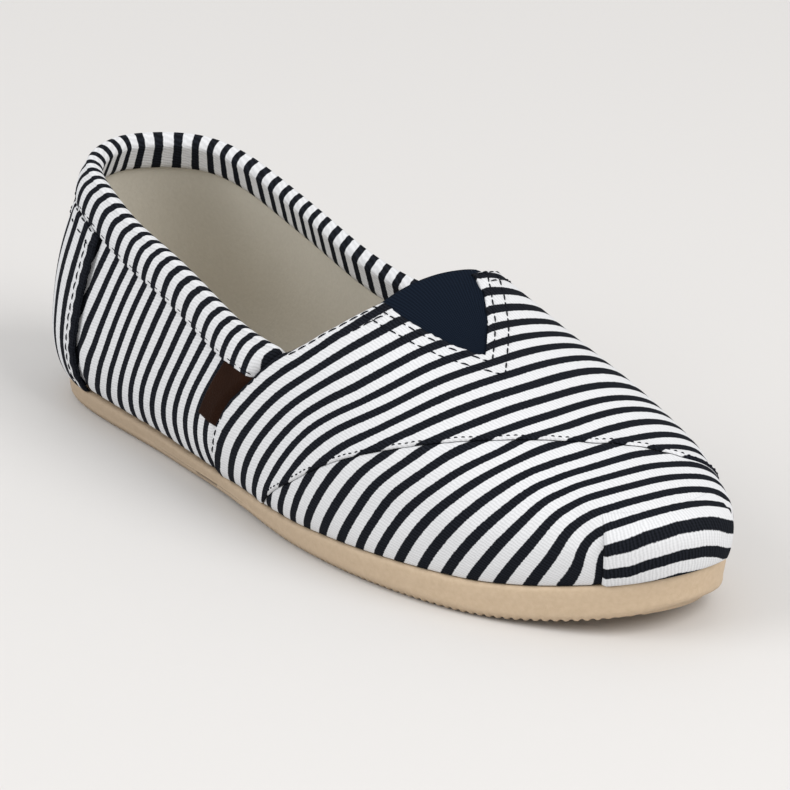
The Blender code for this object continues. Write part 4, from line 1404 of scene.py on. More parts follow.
def puckers(distance, run, pitch=4.7, height=0.00011, reach=0.0035):
    """The small ripples that stitches pull beside a seam."""
    return height * np.sin(2 * np.pi * run / pitch) * bump(distance - 0.0012, reach)


def rolled(distance, reach=0.0010):
    """How far a folded edge turns down close to its line."""
    return -EDGE_ROLL * np.clip(1 - distance / reach, 0, 1) ** 2


def across_tip(values, hold):
    """Values of the first ribs laid evenly between the outer two where hold is 1.

    Close to the ridge these ribs run nearly along it, and would cross each other.
    """
    first_t = np.linspace(0, 1, TOE_RIBS)[: TIP_RIBS + 1]
    ridge = on_last(LATERAL, arc_of(LATERAL, first_t), 1.0)[:, 0]
    back = (ridge[0] - ridge) / (ridge[0] - ridge[-1])
    back = back.reshape((-1, 1) + (1,) * (values.ndim - 2))
    hold = hold.reshape((1, -1) + (1,) * (values.ndim - 2))
    first = values[: TIP_RIBS + 1]
    even = first[:1] + back * (first[-1:] - first[:1])
    mended = values.copy()
    mended[: TIP_RIBS + 1] += hold * (even - first)
    return mended


def patch_tip(work):
    """Relays the faces by the ridge's front end, where the ribs crowd together."""
    arcs = np.array([float(arc_of(LATERAL, np.array([TIP_RIBS / TOE_RIBS]))[0]), 0.0])
    start, end = [Vector(point) for point in on_last(LATERAL, arcs, np.array([1.0, 0.965])) + PLACE]
    run = end - start

    def away(face):
        point = face.calc_center_median()
        share = min(max((point - start).dot(run) / run.length_squared, 0), 1)
        return (point - start - share * run).length

    crowded = [face for face in work.faces if away(face) < TIP_PATCH]
    rim = {edge for face in crowded for edge in face.edges}
    bmesh.ops.delete(work, geom=crowded, context="FACES_KEEP_BOUNDARY")
    rim = [edge for edge in rim if edge.is_valid and edge.is_boundary]
    patch = bmesh.ops.holes_fill(work, edges=rim, sides=0)["faces"]
    bmesh.ops.triangulate(work, faces=patch)


def rounded_nose(values, places, rows=1.0):
    """Values by rib and height, evened out over the narrow keel where the two sides meet."""
    values = values.copy()
    hold = 0.5 * bump(places, NOSE_REACH)[1:-1, None] * np.ones(values.shape[1]) * rows
    hold = hold.reshape(hold.shape + (1,) * (values.ndim - 2))
    for _ in range(NOSE_ROUNDS):
        values[1:-1] += hold * (0.5 * (values[:-2] + values[2:]) - values[1:-1])
    return values


def waist_ribs(back, step):
    """t of ribs between the two fans, a step apart, as far back as a station."""
    stations = np.arange(TOE_FAN_START - step, back, -step)
    return 1 + (TOE_FAN_START - stations) / (TOE_FAN_START - HEEL_FAN_START)


def vamp_offset(side, base, rise, x, s):
    """How far the vamp stands off the last, metres: its hems, ripples and creases."""
    to_seam = distance_to(base, TOE_LINE[0][::3])
    to_rear = distance_to(base, REAR_LINES[side][0][::2])
    to_v = np.minimum(*[distance_to(base, points[::4]) for points, _ in V_LINES])
    corner = np.linalg.norm(base - V_CORNER[side], axis=-1)
    offset = HEM_LIFT * bump(to_seam, 0.0030) + rolled(to_seam, 0.0007) + puckers(to_seam, x)
    throat_lift = 1.2 - 0.75 * smooth(base[..., 0], CORNER_X, CORNER_X + 0.006)
    offset += throat_lift * HEM_LIFT * bump(to_rear, THROAT_SPREAD) + rolled(to_rear)
    offset += puckers(to_rear, base[..., 2] / MM)
    offset += 0.3 * HEM_LIFT * bump(to_v, THROAT_SPREAD) + rolled(to_v)
    offset += puckers(to_v, x, height=0.00008)
    offset += 0.0006 * bump(corner, 0.0075)
    return offset + creases(x, s) * smooth(rise, *CREASE_RISE)


# How far the throat's hem is felt, and the rise over which the creases set in.
THROAT_SPREAD = 0.0065
CREASE_RISE = (0.02, 0.15)


def make_vamp():
    """The vamp: one sheet over the instep, its two sides made alike and joined."""
    t = np.concatenate([np.linspace(0, 1, TOE_RIBS), waist_ribs(VAMP_BACK, MM)])
    share = stretches((0, 0.03, 9), (0.03, 0.96, 78), (0.96, 1, 9))
    sides = []
    for side in SIDES:
        arc = arc_of(side, t)
        edge = rise_at(side, arc, vamp_top(outline_at(side, arc)[0][:, 0]))
        top = np.where(t <= 1, 1.0, edge)
        low = np.minimum(seam_rise(side, arc), top)
        rise = low[:, None] + (top - low)[:, None] * share[None, :]
        places = up_the_ribs(side, arc, rise)
        hold = smooth(share, 0.80, 0.93)
        base = across_tip(on_last(*places, rise), hold)
        x, s = [across_tip(values, hold) for values in chart_of(*places, rise)]
        offset = vamp_offset(side, base, rise, x, s)
        points = on_last(*places, rise, offset)
        up = (on_last(LATERAL, 0.0, TIP_RISE, MM) - on_last(LATERAL, 0.0, TIP_RISE)) / MM
        at_tip = ((1 - smooth(t, 0.09, 0.15))[:, None] * smooth(rise, 0.86, 0.93))[..., None]
        points += at_tip * (base + offset[..., None] * up - points)
        sides.append((points, x, s))
    places = np.concatenate([-arc_of(LATERAL, t)[::-1], arc_of(MEDIAL, t)[1:]])
    low_rows = 1 - smooth(share, 0.50, 0.75)
    points, x, s = [
        rounded_nose(np.concatenate([lateral[::-1], medial[1:]]), places, low_rows)
        for lateral, medial in zip(*sides)
    ]
    vamp = make_sheet("vamp", points, CANVAS_CLOTH, "striped_canvas",
                      flat_fields(vamp_stripes(x, s), s), INSIDE_INSTEP, CANVAS,
                      merge=SEAM_MERGE, cut=cut_vamp)
    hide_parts("upper")
    return vamp


# The station where the vamp's last rib stands, and the width that a joint closes, metres.
VAMP_BACK = 0.1022
SEAM_MERGE = 2e-5
# Places inside the shoe, metres, that the panels' outer faces look away from.
INSIDE_TOE = (0.2, 0, 0.01)
INSIDE_INSTEP = (0.15, 0, 0.02)
INSIDE_WAIST = (0.08, 0, 0.02)
INSIDE_HEEL = (0.04, 0, 0.03)


def fold_distance(places):
    """How far inside the two pleats a place round the toe lies, metres."""
    nearer = np.minimum(places + FLAP_LATERAL, FLAP_MEDIAL - places)
    return nearer[:, None] * SIDE_LENGTH[LATERAL]


def make_toe_panel():
    """The toe's panel, from the sole to under the vamp's front edge."""
    places = stretches((SEAM_START, 0, 190), (0, SEAM_END, 64))
    side, arc = signed(places)
    seam_at = seam_rise(side, arc)
    top = seam_at + 0.032 * smooth(seam_at, 0, 0.12)
    rise = top[:, None] * np.linspace(0, 1, 74)[None, :]
    sides, arcs = up_the_ribs(side, arc, rise)
    base = on_last(sides, arcs, rise)
    x, s = [rounded_nose(values, places) for values in chart_of(sides, arcs, rise)]
    height = rise_lengths(side, arc, rise)
    to_seam = distance_to(base, TOE_LINE[0][::3])
    beyond = np.where(rise > seam_at[:, None], to_seam, -to_seam)
    offset = -UNDER_VAMP * smooth(beyond, -0.0006, 0.0010) + puckers(to_seam, x) * (beyond < 0)
    offset += creases(x, s) * smooth(rise, *CREASE_RISE)
    from_edge = fold_distance(places)
    low_part = 1 - smooth(height, FLAP_MERGE_HEIGHT - 1.5, FLAP_MERGE_HEIGHT)
    beside = smooth(from_edge, -0.0035, 0.0) * (height < FLAP_FOLD_HEIGHT)
    beside = np.maximum(beside, from_edge > 0.0005)
    offset -= (0.0007 - 0.0004 * (from_edge < 0.0005)) * low_part * beside
    medial_front = smooth(places, 0, 0.01)[:, None] * smooth(height, 11, 15)
    stripe = toe_stripes(x, s)
    stripe = stripe + medial_front * (front_stripes(places, x, s, height) - stripe)
    points = rounded_nose(on_last(sides, arcs, rise, offset), places)
    panel = make_sheet("toe_panel", points, CANVAS_CLOTH, "striped_canvas",
                       flat_fields(stripe, s), INSIDE_TOE, CANVAS, merge=SEAM_MERGE)
    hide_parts("upper")


# How far a panel's edge dips to pass under the vamp, metres.
UNDER_VAMP = 0.0011


def make_toe_flap():
    """The toe's front, folded forward over the sides at two pleats."""
    places = stretches((-FLAP_LATERAL, 0, 76), (0, FLAP_MEDIAL, 40))
    side, arc = signed(places)
    share = np.linspace(0, 1, 48)
    height = np.tile(share * FLAP_MERGE_HEIGHT, (len(places), 1))
    rise = rises_of_heights(side, arc, height)
    sides, arcs = up_the_ribs(side, arc, rise)
    x, s = [rounded_nose(values, places) for values in chart_of(sides, arcs, rise)]
    puff = FLAP_PUFF * (1 - smooth(height, FLAP_FOLD_HEIGHT - 4, FLAP_MERGE_HEIGHT))
    roll = np.clip(1 - fold_distance(places) / 0.0016, 0, 1) ** 2
    foot = np.clip(1 - height / 1.2, 0, 1) ** 2
    offset = puff * (1 - roll) * (1 - 0.6 * foot) + 0.00005
    offset += creases(x, s) * smooth(height, FLAP_FOLD_HEIGHT - 3, FLAP_MERGE_HEIGHT)
    stripe = front_stripes(places, x, s, height)
    points = rounded_nose(on_last(sides, arcs, rise, offset), places)
    around = places[:, None] * SIDE_LENGTH[LATERAL] / MM
    flap = make_sheet("toe_flap", points, CANVAS_CLOTH, "striped_canvas",
                      flat_fields(stripe, around), INSIDE_TOE, 0.5 * CANVAS, merge=SEAM_MERGE)
    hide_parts("upper")


def run_along(side, arc, x):
    """Place along the side, millimetres: the station, carried on round the heel."""
    heel_arc = arc_at(side, HEEL_FAN_START)
    round_heel = (HEEL_FAN_START - (arc - heel_arc) * SIDE_LENGTH[side]) / MM
    share = smooth(outline_at(side, arc)[0][..., 0] / MM, 22, 44)
    return share * x + (1 - share) * (round_heel + HEEL_RUN_SHIFT)


# What makes the count round the heel meet the stations, millimetres.
HEEL_RUN_SHIFT = 1.5


def ahead_of_counter(side, arc, up):
    """How far ahead of the heel counter's front edge a place lies along the side."""
    edge = COUNTER_FOOT_ARC + (COUNTER_TOP_ARC - COUNTER_FOOT_ARC) * up
    return (edge - arc) * SIDE_LENGTH[side]


def side_arcs(side, first, step=0.0011, heel=72):
    """Arcs from a station back to the heel's seam."""
    stations = np.arange(first, HEEL_FAN_START, -step)
    start = float(arc_at(side, HEEL_FAN_START))
    return np.concatenate([arc_at(side, stations), np.linspace(start, 1, heel)])


def make_quarter(side, name):
    """One of the two panels from the vamp's rear edge back to the heel's seam."""
    arc = side_arcs(side, 0.134)
    top = rise_under(side, arc, quarter_top)
    rise = top[:, None] * np.linspace(0, 1, 60)[None, :]
    sides, arcs = up_the_ribs(side, arc, rise)
    base = on_last(sides, arcs, rise)
    to_rear = distance_to(base, REAR_LINES[side][0])
    beyond = np.where(base[..., 2] < seam_height(base[..., 0]), to_rear, -to_rear)
    offset = -UNDER_VAMP * smooth(beyond, -0.0022, 0.0008)
    x, s = chart_of(sides, arcs, rise)
    offset += creases(np.maximum(x, 80), s) * smooth(rise, *CREASE_RISE) * smooth(x, 84, 96)
    height = rise_lengths(side, arc, rise)
    place = run_along(side, arcs, x)
    offset += 0.00010 * np.sin(place / 5.3 + height / 9) * smooth(height, 2, 10)
    to_counter = ahead_of_counter(side, arcs, rise / np.maximum(top, TINY)[:, None])
    offset -= 0.0008 * bump(to_counter, 0.0016)
    points = on_last(sides, arcs, rise, offset)
    quarter = make_sheet(name, points, CANVAS_CLOTH, "striped_canvas",
                         flat_fields(quarter_stripes(place, height), height),
                         INSIDE_WAIST, CANVAS)
    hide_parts("upper")


def quarter_top(x):
    """Height of a quarter's upper edge: under the binding, then under the vamp."""
    return np.where(x < CORNER_X, top_line(x) - 0.0015, vamp_top(x) - 0.004)


def make_lining():
    """Plain cotton inside the canvas, from the feather line to the top line and the throat."""
    waist = waist_ribs(HEEL_FAN_START, 0.0025)
    t = np.concatenate([np.linspace(0, 1, 40), waist, np.linspace(2, 3, 40)])
    share = np.linspace(0, 1, 44)
    vertices = []
    faces = []
    for side in SIDES:
        arc = arc_of(side, t)
        top = rise_under(side, arc, lambda x: opening_height(x) - 0.0012)
        rise = top[:, None] * share[None, :]
        foot_x = outline_at(side, arc)[0][:, :1]
        deeper = 0.0012 * smooth(foot_x, 0.085, 0.100) + 0.0006 * (1 - smooth(rise, 0.15, 0.4))
        points = last_surface(side, arc[:, None], rise, -(CANVAS + 0.0005) - deeper)
        faces += grid_faces(len(t), len(share), start=len(vertices), flip=side == MEDIAL)
        vertices += list(points.reshape(-1, 3))
    lining = make_piece("lining", vertices, faces, LINING_CLOTH, "striped_canvas", merge=2e-4,
                        cut=cut_lining)
    face_out(lining, INSIDE_INSTEP)
    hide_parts("upper")
    thicken(lining, LINING)


# ---- elastic, binding, counter, tags ----------------------------------------------


def make_gore():
    """The elastic insert under the V, corded along the foot."""
    rows = np.linspace(-0.02, 1.10, 40)
    across = np.linspace(-1, 1, 48)
    u, v = np.meshgrid(rows, across, indexing="ij")
    corners = zip((V_CHART_LEFT, V_CHART_RIGHT), (-GORE_MARGIN, GORE_MARGIN))
    (left_x, left_s), (right_x, right_s) = [
        (corner[0] + (V_CHART_TIP[0] - corner[0]) * u,
         corner[1] + (V_CHART_TIP[1] - corner[1]) * u + margin)
        for corner, margin in corners
    ]
    mid = 0.5 * (v + 1)
    x = left_x + (right_x - left_x) * mid
    x += 4.5 * np.clip((np.abs(v) - 0.76) / 0.24, 0, 1) * np.clip(1 - 3 * u, 0, 1)
    s = left_s + (right_s - left_s) * mid
    places = from_chart(x.ravel(), s.ravel())
    swell_up = 0.0008 * (1 - v.ravel() ** 2) * smooth(1 - u.ravel(), 0.1, 0.6)
    outer = on_last(*places, GORE_DEPTH + swell_up)
    inner = on_last(*places, GORE_DEPTH + swell_up - GORE_THICKNESS)
    weave = np.stack([v.ravel() * 18, u.ravel() * 30, 0 * u.ravel()], axis=1)
    gore = make_piece("gore_elastic", np.concatenate([outer, inner]),
                      slab_faces(len(rows), len(across)), ELASTIC, "elastic",
                      {"weave": np.concatenate([weave, weave])})
    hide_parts("gore")


# The elastic's outer face lies just under the canvas, metres.
GORE_DEPTH = -(CANVAS + 0.00025)
GORE_THICKNESS = 0.0009


def tucked(points):
    """0 on the open band, 1 once a place is well under the vamp's rear edge."""
    height = points[..., 2]
    ahead = points[..., 0] - (seam_x(height) + np.maximum(height - SEAM[-1][0], 0) / SEAM_CLIMB)
    return smooth(ahead, -0.0022, 0.0014)


def band_loops():
    """The binding's rows: what each follows, how far along it, and its offset, metres."""
    loops = []
    for u in np.linspace(0, 1, 22):
        puff = BAND_LOW + (BAND_FULL - BAND_LOW) * np.sin(np.pi * min(u / 0.62, 1) / 2) ** 0.8
        puff += (BAND_TOP - BAND_FULL) * smooth(u, 0.62, 1.0)
        loops.append(("outer", u, puff))
    for a in np.linspace(0, np.pi, 12)[1:-1]:
        loops.append(("top", a, 0.0))
    for u in np.linspace(1, 0, 12):
        loops.append(("inner", u, BAND_INSIDE + 0.0004 * (1 - smooth(u, 0, 0.2))))
    for u in np.linspace(0, 1, 5):
        loops.append(("inner", u, -0.0020))
    for u in np.linspace(0.9, 0, 6):
        loops.append(("outer", u, 0.00005))
    return loops


# Offsets of the binding's outer face at its hem, its fullest and its top, and inside.
BAND_LOW = 0.0010
BAND_FULL = 0.0024
BAND_TOP = 0.0019
BAND_INSIDE = -0.0033
# How many stripes the binding's count is ahead of the quarter's.
BAND_AHEAD = 3


def band_side(side, loops):
    """Points, stripe field and girth, by rib and row, of one side of the binding."""
    arc = side_arcs(side, 0.1262, step=0.0009, heel=110)
    x_foot = outline_at(side, arc)[0][:, 0]
    top = rise_under(side, arc, top_line)
    hem = rise_under(side, arc, hem_line)
    inside = rise_under(side, arc, lambda x: top_line(x) - BAND_INNER_DEPTH)
    levels = rise_lengths(side, arc, np.stack([hem, top], axis=1))
    tall = levels[:, 1] - levels[:, 0]
    place = run_along(side, arc, x_foot / MM)
    gather = GATHER * np.sin(2 * np.pi * place / 5.9) + GATHER * np.sin(place / 3.1 + 1.0)
    hem_place = run_along(side, arc, skin(side, arc, hem)[:, 0] / MM)
    hem_count = quarter_stripes(hem_place, levels[:, 0]) + BAND_AHEAD
    order = np.argsort(hem_place)
    ring = np.zeros((len(arc), len(loops), 3))
    stripe = np.zeros((len(arc), len(loops)))
    second = np.zeros((len(arc), len(loops)))
    for k, (kind, u, offset) in enumerate(loops):
        if kind == "outer":
            rise = hem + u * (top - hem)
            under_vamp = tucked(skin(side, arc, rise))
            away = np.where(offset > 0.0002, offset + gather * np.sin(np.pi * u), offset)
            away = away * (1 - under_vamp) - BAND_TUCK * under_vamp
            ring[:, k] = last_surface(side, arc, rise, away)
            climb = u * tall
        elif kind == "top":
            outer = BAND_TOP * (1 - under_vamp) - BAND_TUCK * under_vamp
            middle = 0.5 * (outer + BAND_INSIDE)
            radius = 0.5 * (outer - BAND_INSIDE)
            ring[:, k] = last_surface(side, arc, top, middle + radius * np.cos(u))
            ring[:, k, 2] += 0.72 * radius * np.sin(u)
            climb = tall + 1.2 * u
        else:
            rise = inside + u * (top - inside)
            ring[:, k] = last_surface(side, arc, rise, offset)
            climb = tall + 4 + (1 - u) * BAND_INNER_DEPTH / MM
        bowed = 0.31 * np.minimum(climb, 11) + 0.30 * np.clip(climb - 8.0, 0, 4) ** 1.5
        bowed = bowed * smooth(place, -13, 25)
        x_here = run_along(side, arc, ring[:, k, 0] / MM)
        stripe[:, k] = np.interp(x_here - bowed, hem_place[order], hem_count[order])
        second[:, k] = climb
    return ring, stripe, second


# How deep the binding's end lies under the vamp's rear edge, and how far its cloth is
# gathered, metres.
BAND_TUCK = 0.0016
GATHER = 0.00007


def make_band():
    """The padded canvas binding, folded over the top line."""
    loops = band_loops()
    sides = [band_side(side, loops) for side in SIDES]
    ring, stripe, second = [round_the_heel(*pair) for pair in zip(*sides)]
    columns, rows = ring.shape[:2]
    faces = grid_faces(columns, rows, around=True)
    faces.append(tuple(range(rows)))
    faces.append(tuple((columns - 1) * rows + r for r in range(rows))[::-1])
    band = make_piece("collar_binding", ring.reshape(-1, 3), faces, BAND_CLOTH, "binding_canvas",
                      flat_fields(stripe, second))
    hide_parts("collar_band")


def counter_rim(side, arc):
    """Rise of the counter's upper edge, just under the binding's hem."""
    return rise_under(side, arc, lambda x: hem_line(x) - 0.0004)


def make_counter():
    """The overlay round the heel, with turned front and top edges."""
    share = np.linspace(0, 1, 62)
    up = np.linspace(0, 1, 56)
    sides = []
    for side in SIDES:
        foot_arc = COUNTER_FOOT_ARC + (1 - COUNTER_FOOT_ARC) * share
        top_arc = COUNTER_TOP_ARC + (1 - COUNTER_TOP_ARC) * share
        arc = foot_arc[:, None] + (top_arc - foot_arc)[:, None] * up[None, :]
        rise = counter_rim(side, top_arc)[:, None] * up[None, :]
        base = last_surface(side, arc, rise)
        to_front = share[:, None] * (1 - COUNTER_TOP_ARC) * SIDE_LENGTH[side] + 0 * up[None, :]
        to_top = np.linalg.norm(base - base[:, -1:, :], axis=2)
        height = rise_lengths(side, foot_arc, rise)
        place = run_along(side, arc, base[..., 0] / MM)
        offset = COUNTER_LIFT + rolled(to_front, 0.0013) + rolled(to_top, 0.0011)
        offset += 0.0005 * bump(to_front - 0.0015, 0.004) * up[None, :]
        offset += puckers(to_top, place, pitch=3.9, height=0.00022)
        offset += puckers(to_front, height, pitch=4.6, height=0.00018)
        offset += 0.00016 * np.sin(height / 6 + place / 9) * smooth(to_front, 0.001, 0.008)
        grid = last_surface(side, arc, rise, offset)
        grid[:, 0, 2] = np.maximum(grid[:, 0, 2], sole_top(grid[:, 0, 0]) + GAP)
        stripe = COUNTER_FIRST + COUNTER_STRIPES * share[:, None] + 0 * rise
        sides.append((grid, stripe, height))
    sides[0][0][-1] = 0.5 * (sides[0][0][-1] + sides[1][0][-1])
    grid, stripe, second = [round_the_heel(*pair) for pair in zip(*sides)]
    counter = make_sheet("heel_counter_cloth", grid, COUNTER_CLOTH, "counter_canvas",
                         flat_fields(stripe, second), INSIDE_HEEL, COUNTER_THICKNESS)
    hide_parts("heel_counter")
    return counter


# Stripe count at the counter's front edge, and stripes from there to the back seam.
COUNTER_FIRST = -0.17
COUNTER_STRIPES = 7.5
# How far the counter stands off the last, and its thickness, metres.
COUNTER_LIFT = 0.0010
COUNTER_THICKNESS = 0.0009


def leather_patch(name, outer, under, replaced):
    """A leather piece with softly rounded edges between two grids of the last."""
    columns, rows = outer.shape[:2]
    u = np.linspace(0, 1, columns)[:, None]
    v = np.linspace(0, 1, rows)[None, :]
    wide = np.linalg.norm(outer[0, 0] - outer[-1, 0])
    tall = np.linalg.norm(outer[0, 0] - outer[0, -1])
    near = np.minimum(np.minimum(u, 1 - u) * wide, np.minimum(v, 1 - v) * tall)
    share = 1 - 0.75 * np.clip(1 - near / 0.0009, 0, 1) ** 2
    face = under + (outer - under) * share[..., None]
    both = np.concatenate([face.reshape(-1, 3), under.reshape(-1, 3)])
    patch = make_piece(name, both, slab_faces(columns, rows), LEATHER, "tag_leather")
    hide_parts(replaced)


def make_side_tag():
    """The small bare leather tag under the vamp's rear edge."""
    share = np.linspace(0, 1, 24)
    outer = []
    under = []
    for up in np.linspace(0, 1, 34):
        back_x, back_z, front_x, front_z = TAG_LOW + (TAG_HIGH - TAG_LOW) * up
        front_x = seam_x(front_z) + TAG_UNDER_VAMP
        x = back_x + (front_x - back_x) * share
        arc = arc_at(LATERAL, x)
        rise = rise_at(LATERAL, arc, back_z + (front_z - back_z) * share)
        bow = 0.0002 * np.sin(np.pi * up)
        tuck = UNDER_VAMP * (1 - smooth(front_x - TAG_UNDER_VAMP - x, -0.0008, 0.0022))
        outer.append(last_surface(LATERAL, arc, rise, TAG_THICKNESS + bow - tuck))
        under.append(last_surface(LATERAL, arc, rise, 0.00005 - 0.5 * tuck))
    outer, under = [np.stack(rows, axis=1) for rows in (outer, under)]
    leather_patch("side_tag_leather", outer, under, "side_tag")


# How far the tag's front lies under the vamp, and how thick it and the heel tab are, metres.
TAG_UNDER_VAMP = 0.0012
TAG_THICKNESS = 0.0013
TAB_THICKNESS = 0.0014
# Back x, back z, front x and front z of the tag's lower and upper edge.
TAG_LOW = np.array([97.6, 25.0, 107.0, 23.8]) * MM
TAG_HIGH = np.array([106.4, 43.0, 118.5, 42.1]) * MM


def make_heel_tab():
    """The bare leather strip over the back seam, on the counter."""
    heights = np.linspace(TAB_BOTTOM, TAB_TOP, 40)
    outer = []
    under = []
    for across in np.linspace(-1, 1, 27):
        side = LATERAL if across < 0 else MEDIAL
        arc = 1 - abs(across) * TAB_HALF_WIDTH / SIDE_LENGTH[side]
        rise = rise_at(side, np.full(len(heights), arc), heights)
        outer.append(last_surface(side, arc, rise, COUNTER_LIFT + TAB_THICKNESS))
        under.append(last_surface(side, arc, rise, COUNTER_LIFT))
    leather_patch("heel_tab_leather", np.array(outer), np.array(under), "heel_tab")


# ---- sole and footbed -------------------------------------------------------------


def ring_points(arcs, inset):
    """Points round the outline, moved in: lateral toe to heel, medial heel to toe."""
    rings = []
    for side in SIDES:
        edge, inward = outline_at(side, arcs)
        ring = edge + inward * np.broadcast_to(inset, arcs.shape)[:, None]
        rings.append(ring[:-1] if side == LATERAL else ring[::-1][:-1])
    return np.concatenate(rings)


def tread(x):
    """Depth of the tread's fine cross ribs, metres: under the ball and the heel."""
    ball = smooth(x, 0.112, 0.122) * (1 - smooth(x, 0.238, 0.246))
    heel = smooth(x, 0.006, 0.012) * (1 - smooth(x, 0.066, 0.074))
    wave = np.abs(2 * np.mod(x / TREAD_PITCH, 1) - 1)
    return TREAD_DEPTH * np.maximum(ball, heel) * smooth(wave, 0.25, 0.75)


# The tread's cross ribs, metres.
TREAD_PITCH = 0.0024
TREAD_DEPTH = 0.0006


# The sole's side from the tread up: inset, height, and share of the edge's thickness.
SOLE_PROFILE = (
    (0.0036, 0.0000, 0.00), (0.0026, 0.00005, 0.00), (0.0018, 0.0004, 0.00),
    (0.0011, 0.0010, 0.00), (0.0006, 0.0018, 0.00), (0.00035, 0.0027, 0.00),
    (0.0004, 0.0000, 0.42), (0.00025, 0.0000, 0.55), (0.0001, 0.0000, 0.72),
    (0.0000, -0.0012, 1.00), (0.0001, -0.0006, 1.00), (0.0005, -0.00015, 1.00),
    (0.0012, 0.0000, 1.00),
)


def sole_rings():
    """Rings of the sole's side, from the tread to the seat."""
    arcs = np.linspace(0, 1, 640)
    edge_x = ring_points(arcs, 0.0)[:, 0]
    places = np.concatenate([arcs[:-1], arcs[::-1][:-1]])
    base = sole_bottom(edge_x)
    ribs = tread(edge_x)
    rings = []
    for inset, rise, share in SOLE_PROFILE:
        z = base + rise + share * edge_thickness(edge_x)
        bite = ribs / TREAD_DEPTH * np.clip(1 - (z - base) / 0.0019, 0, 1)
        around = ring_points(arcs, inset)
        inward = ring_points(arcs, inset + MM) - around
        toe_in = 1.9 - 0.8 * smooth(z - base, 0.002, 0.010)
        toe_in = toe_in * (1 - smooth(places, 0.015, 0.125))
        around = around + inward * (0.3 * bite + toe_in)[:, None]
        lift = 0.0005 * bite if rings else ribs
        rings.append(np.column_stack([around, z + lift]))
    return rings


def make_outsole():
    """One moulded sole: ribbed tread, rounded foot, upright foxing edge and flat seat."""
    vertices = sole_rings()
    top_level = len(vertices) - 1
    count = len(vertices[0])
    ring = np.arange(count)
    after = (ring + 1) % count
    faces = []
    for k in range(top_level):
        quads = np.stack([ring, after, count + after, count + ring], axis=1) + k * count
        faces += [tuple(q) for q in quads.tolist()]
    half = count // 2
    across = np.linspace(0, 1, 15)
    start = count * len(vertices)
    for level in (0, top_level):
        edge = vertices[level]
        lateral = np.arange(1, half)
        medial = count - lateral
        inner = edge[lateral][:, None, :] * (1 - across)[None, 1:-1, None]
        inner = inner + edge[medial][:, None, :] * across[None, 1:-1, None]
        if level == 0:
            inner[..., 2] = sole_bottom(inner[..., 0]) + tread(inner[..., 0])
        vertices.append(inner.reshape(-1, 3))
        grid = np.zeros((half - 1, len(across)), int)
        grid[:, 0] = lateral + level * count
        grid[:, -1] = medial + level * count
        grid[:, 1:-1] = start + np.arange((half - 1) * (len(across) - 2)).reshape(half - 1, -1)
        start += (half - 1) * (len(across) - 2)
        quads = np.stack([grid[:-1, :-1], grid[1:, :-1], grid[1:, 1:], grid[:-1, 1:]], axis=-1)
        for quad in quads.reshape(-1, 4).tolist():
            faces.append(tuple(quad if level else quad[::-1]))
        toe_fan = [level * count] + grid[0].tolist()
        heel_fan = [level * count + half] + grid[-1][::-1].tolist()
        for fan in (toe_fan, heel_fan):
            for a, b in zip(fan[1:-1], fan[2:]):
                faces.append((fan[0], a, b))
    sole = make_piece("outsole_rubber", np.concatenate(vertices), faces, RUBBER, "sole_rubber")
    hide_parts("outsole")


def make_footbed():
    """The cloth-covered footbed, a little hollowed under heel and ball."""
    arcs = np.linspace(0, 1, 200)
    shares = np.linspace(0, 1, 31)
    lateral, medial = [line + inward * INSOLE_INSET
                       for line, inward in (outline_at(side, arcs) for side in SIDES)]
    flat = lateral[:, None] + (medial - lateral)[:, None] * shares[None, :, None]
    seat = sole_top(flat[..., 0]) + GAP
    width = np.linalg.norm(medial - lateral, axis=1)
    rim = np.minimum(shares, 1 - shares)[None, :] * width[:, None]
    rim = np.minimum(rim, np.minimum(arcs, 1 - arcs)[:, None] * 0.3)
    hollow = 0.0007 * smooth(rim, 0.004, 0.022)
    edge = INSOLE_EDGE * np.clip(1 - rim / 0.0012, 0, 1) ** 2
    columns, rows = rim.shape
    levels = (seat + INSOLE_THICKNESS - edge - hollow, seat)
    vertices = [np.concatenate([flat, z[..., None]], axis=2).reshape(-1, 3) for z in levels]
    count = columns * rows
    faces = grid_faces(columns, rows) + grid_faces(columns, rows, start=count, flip=True)
    for row in (0, rows - 1):
        for a in range(row, count - rows, rows):
            b = a + rows
            faces.append((b, a, a + count, b + count) if row == 0 else (a, b, b + count, a + count))
    bed = make_piece("footbed", np.concatenate(vertices), faces, FOOTBED_CLOTH, "footbed_cloth")
    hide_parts("insole")


# ---- the stitching ----------------------------------------------------------------


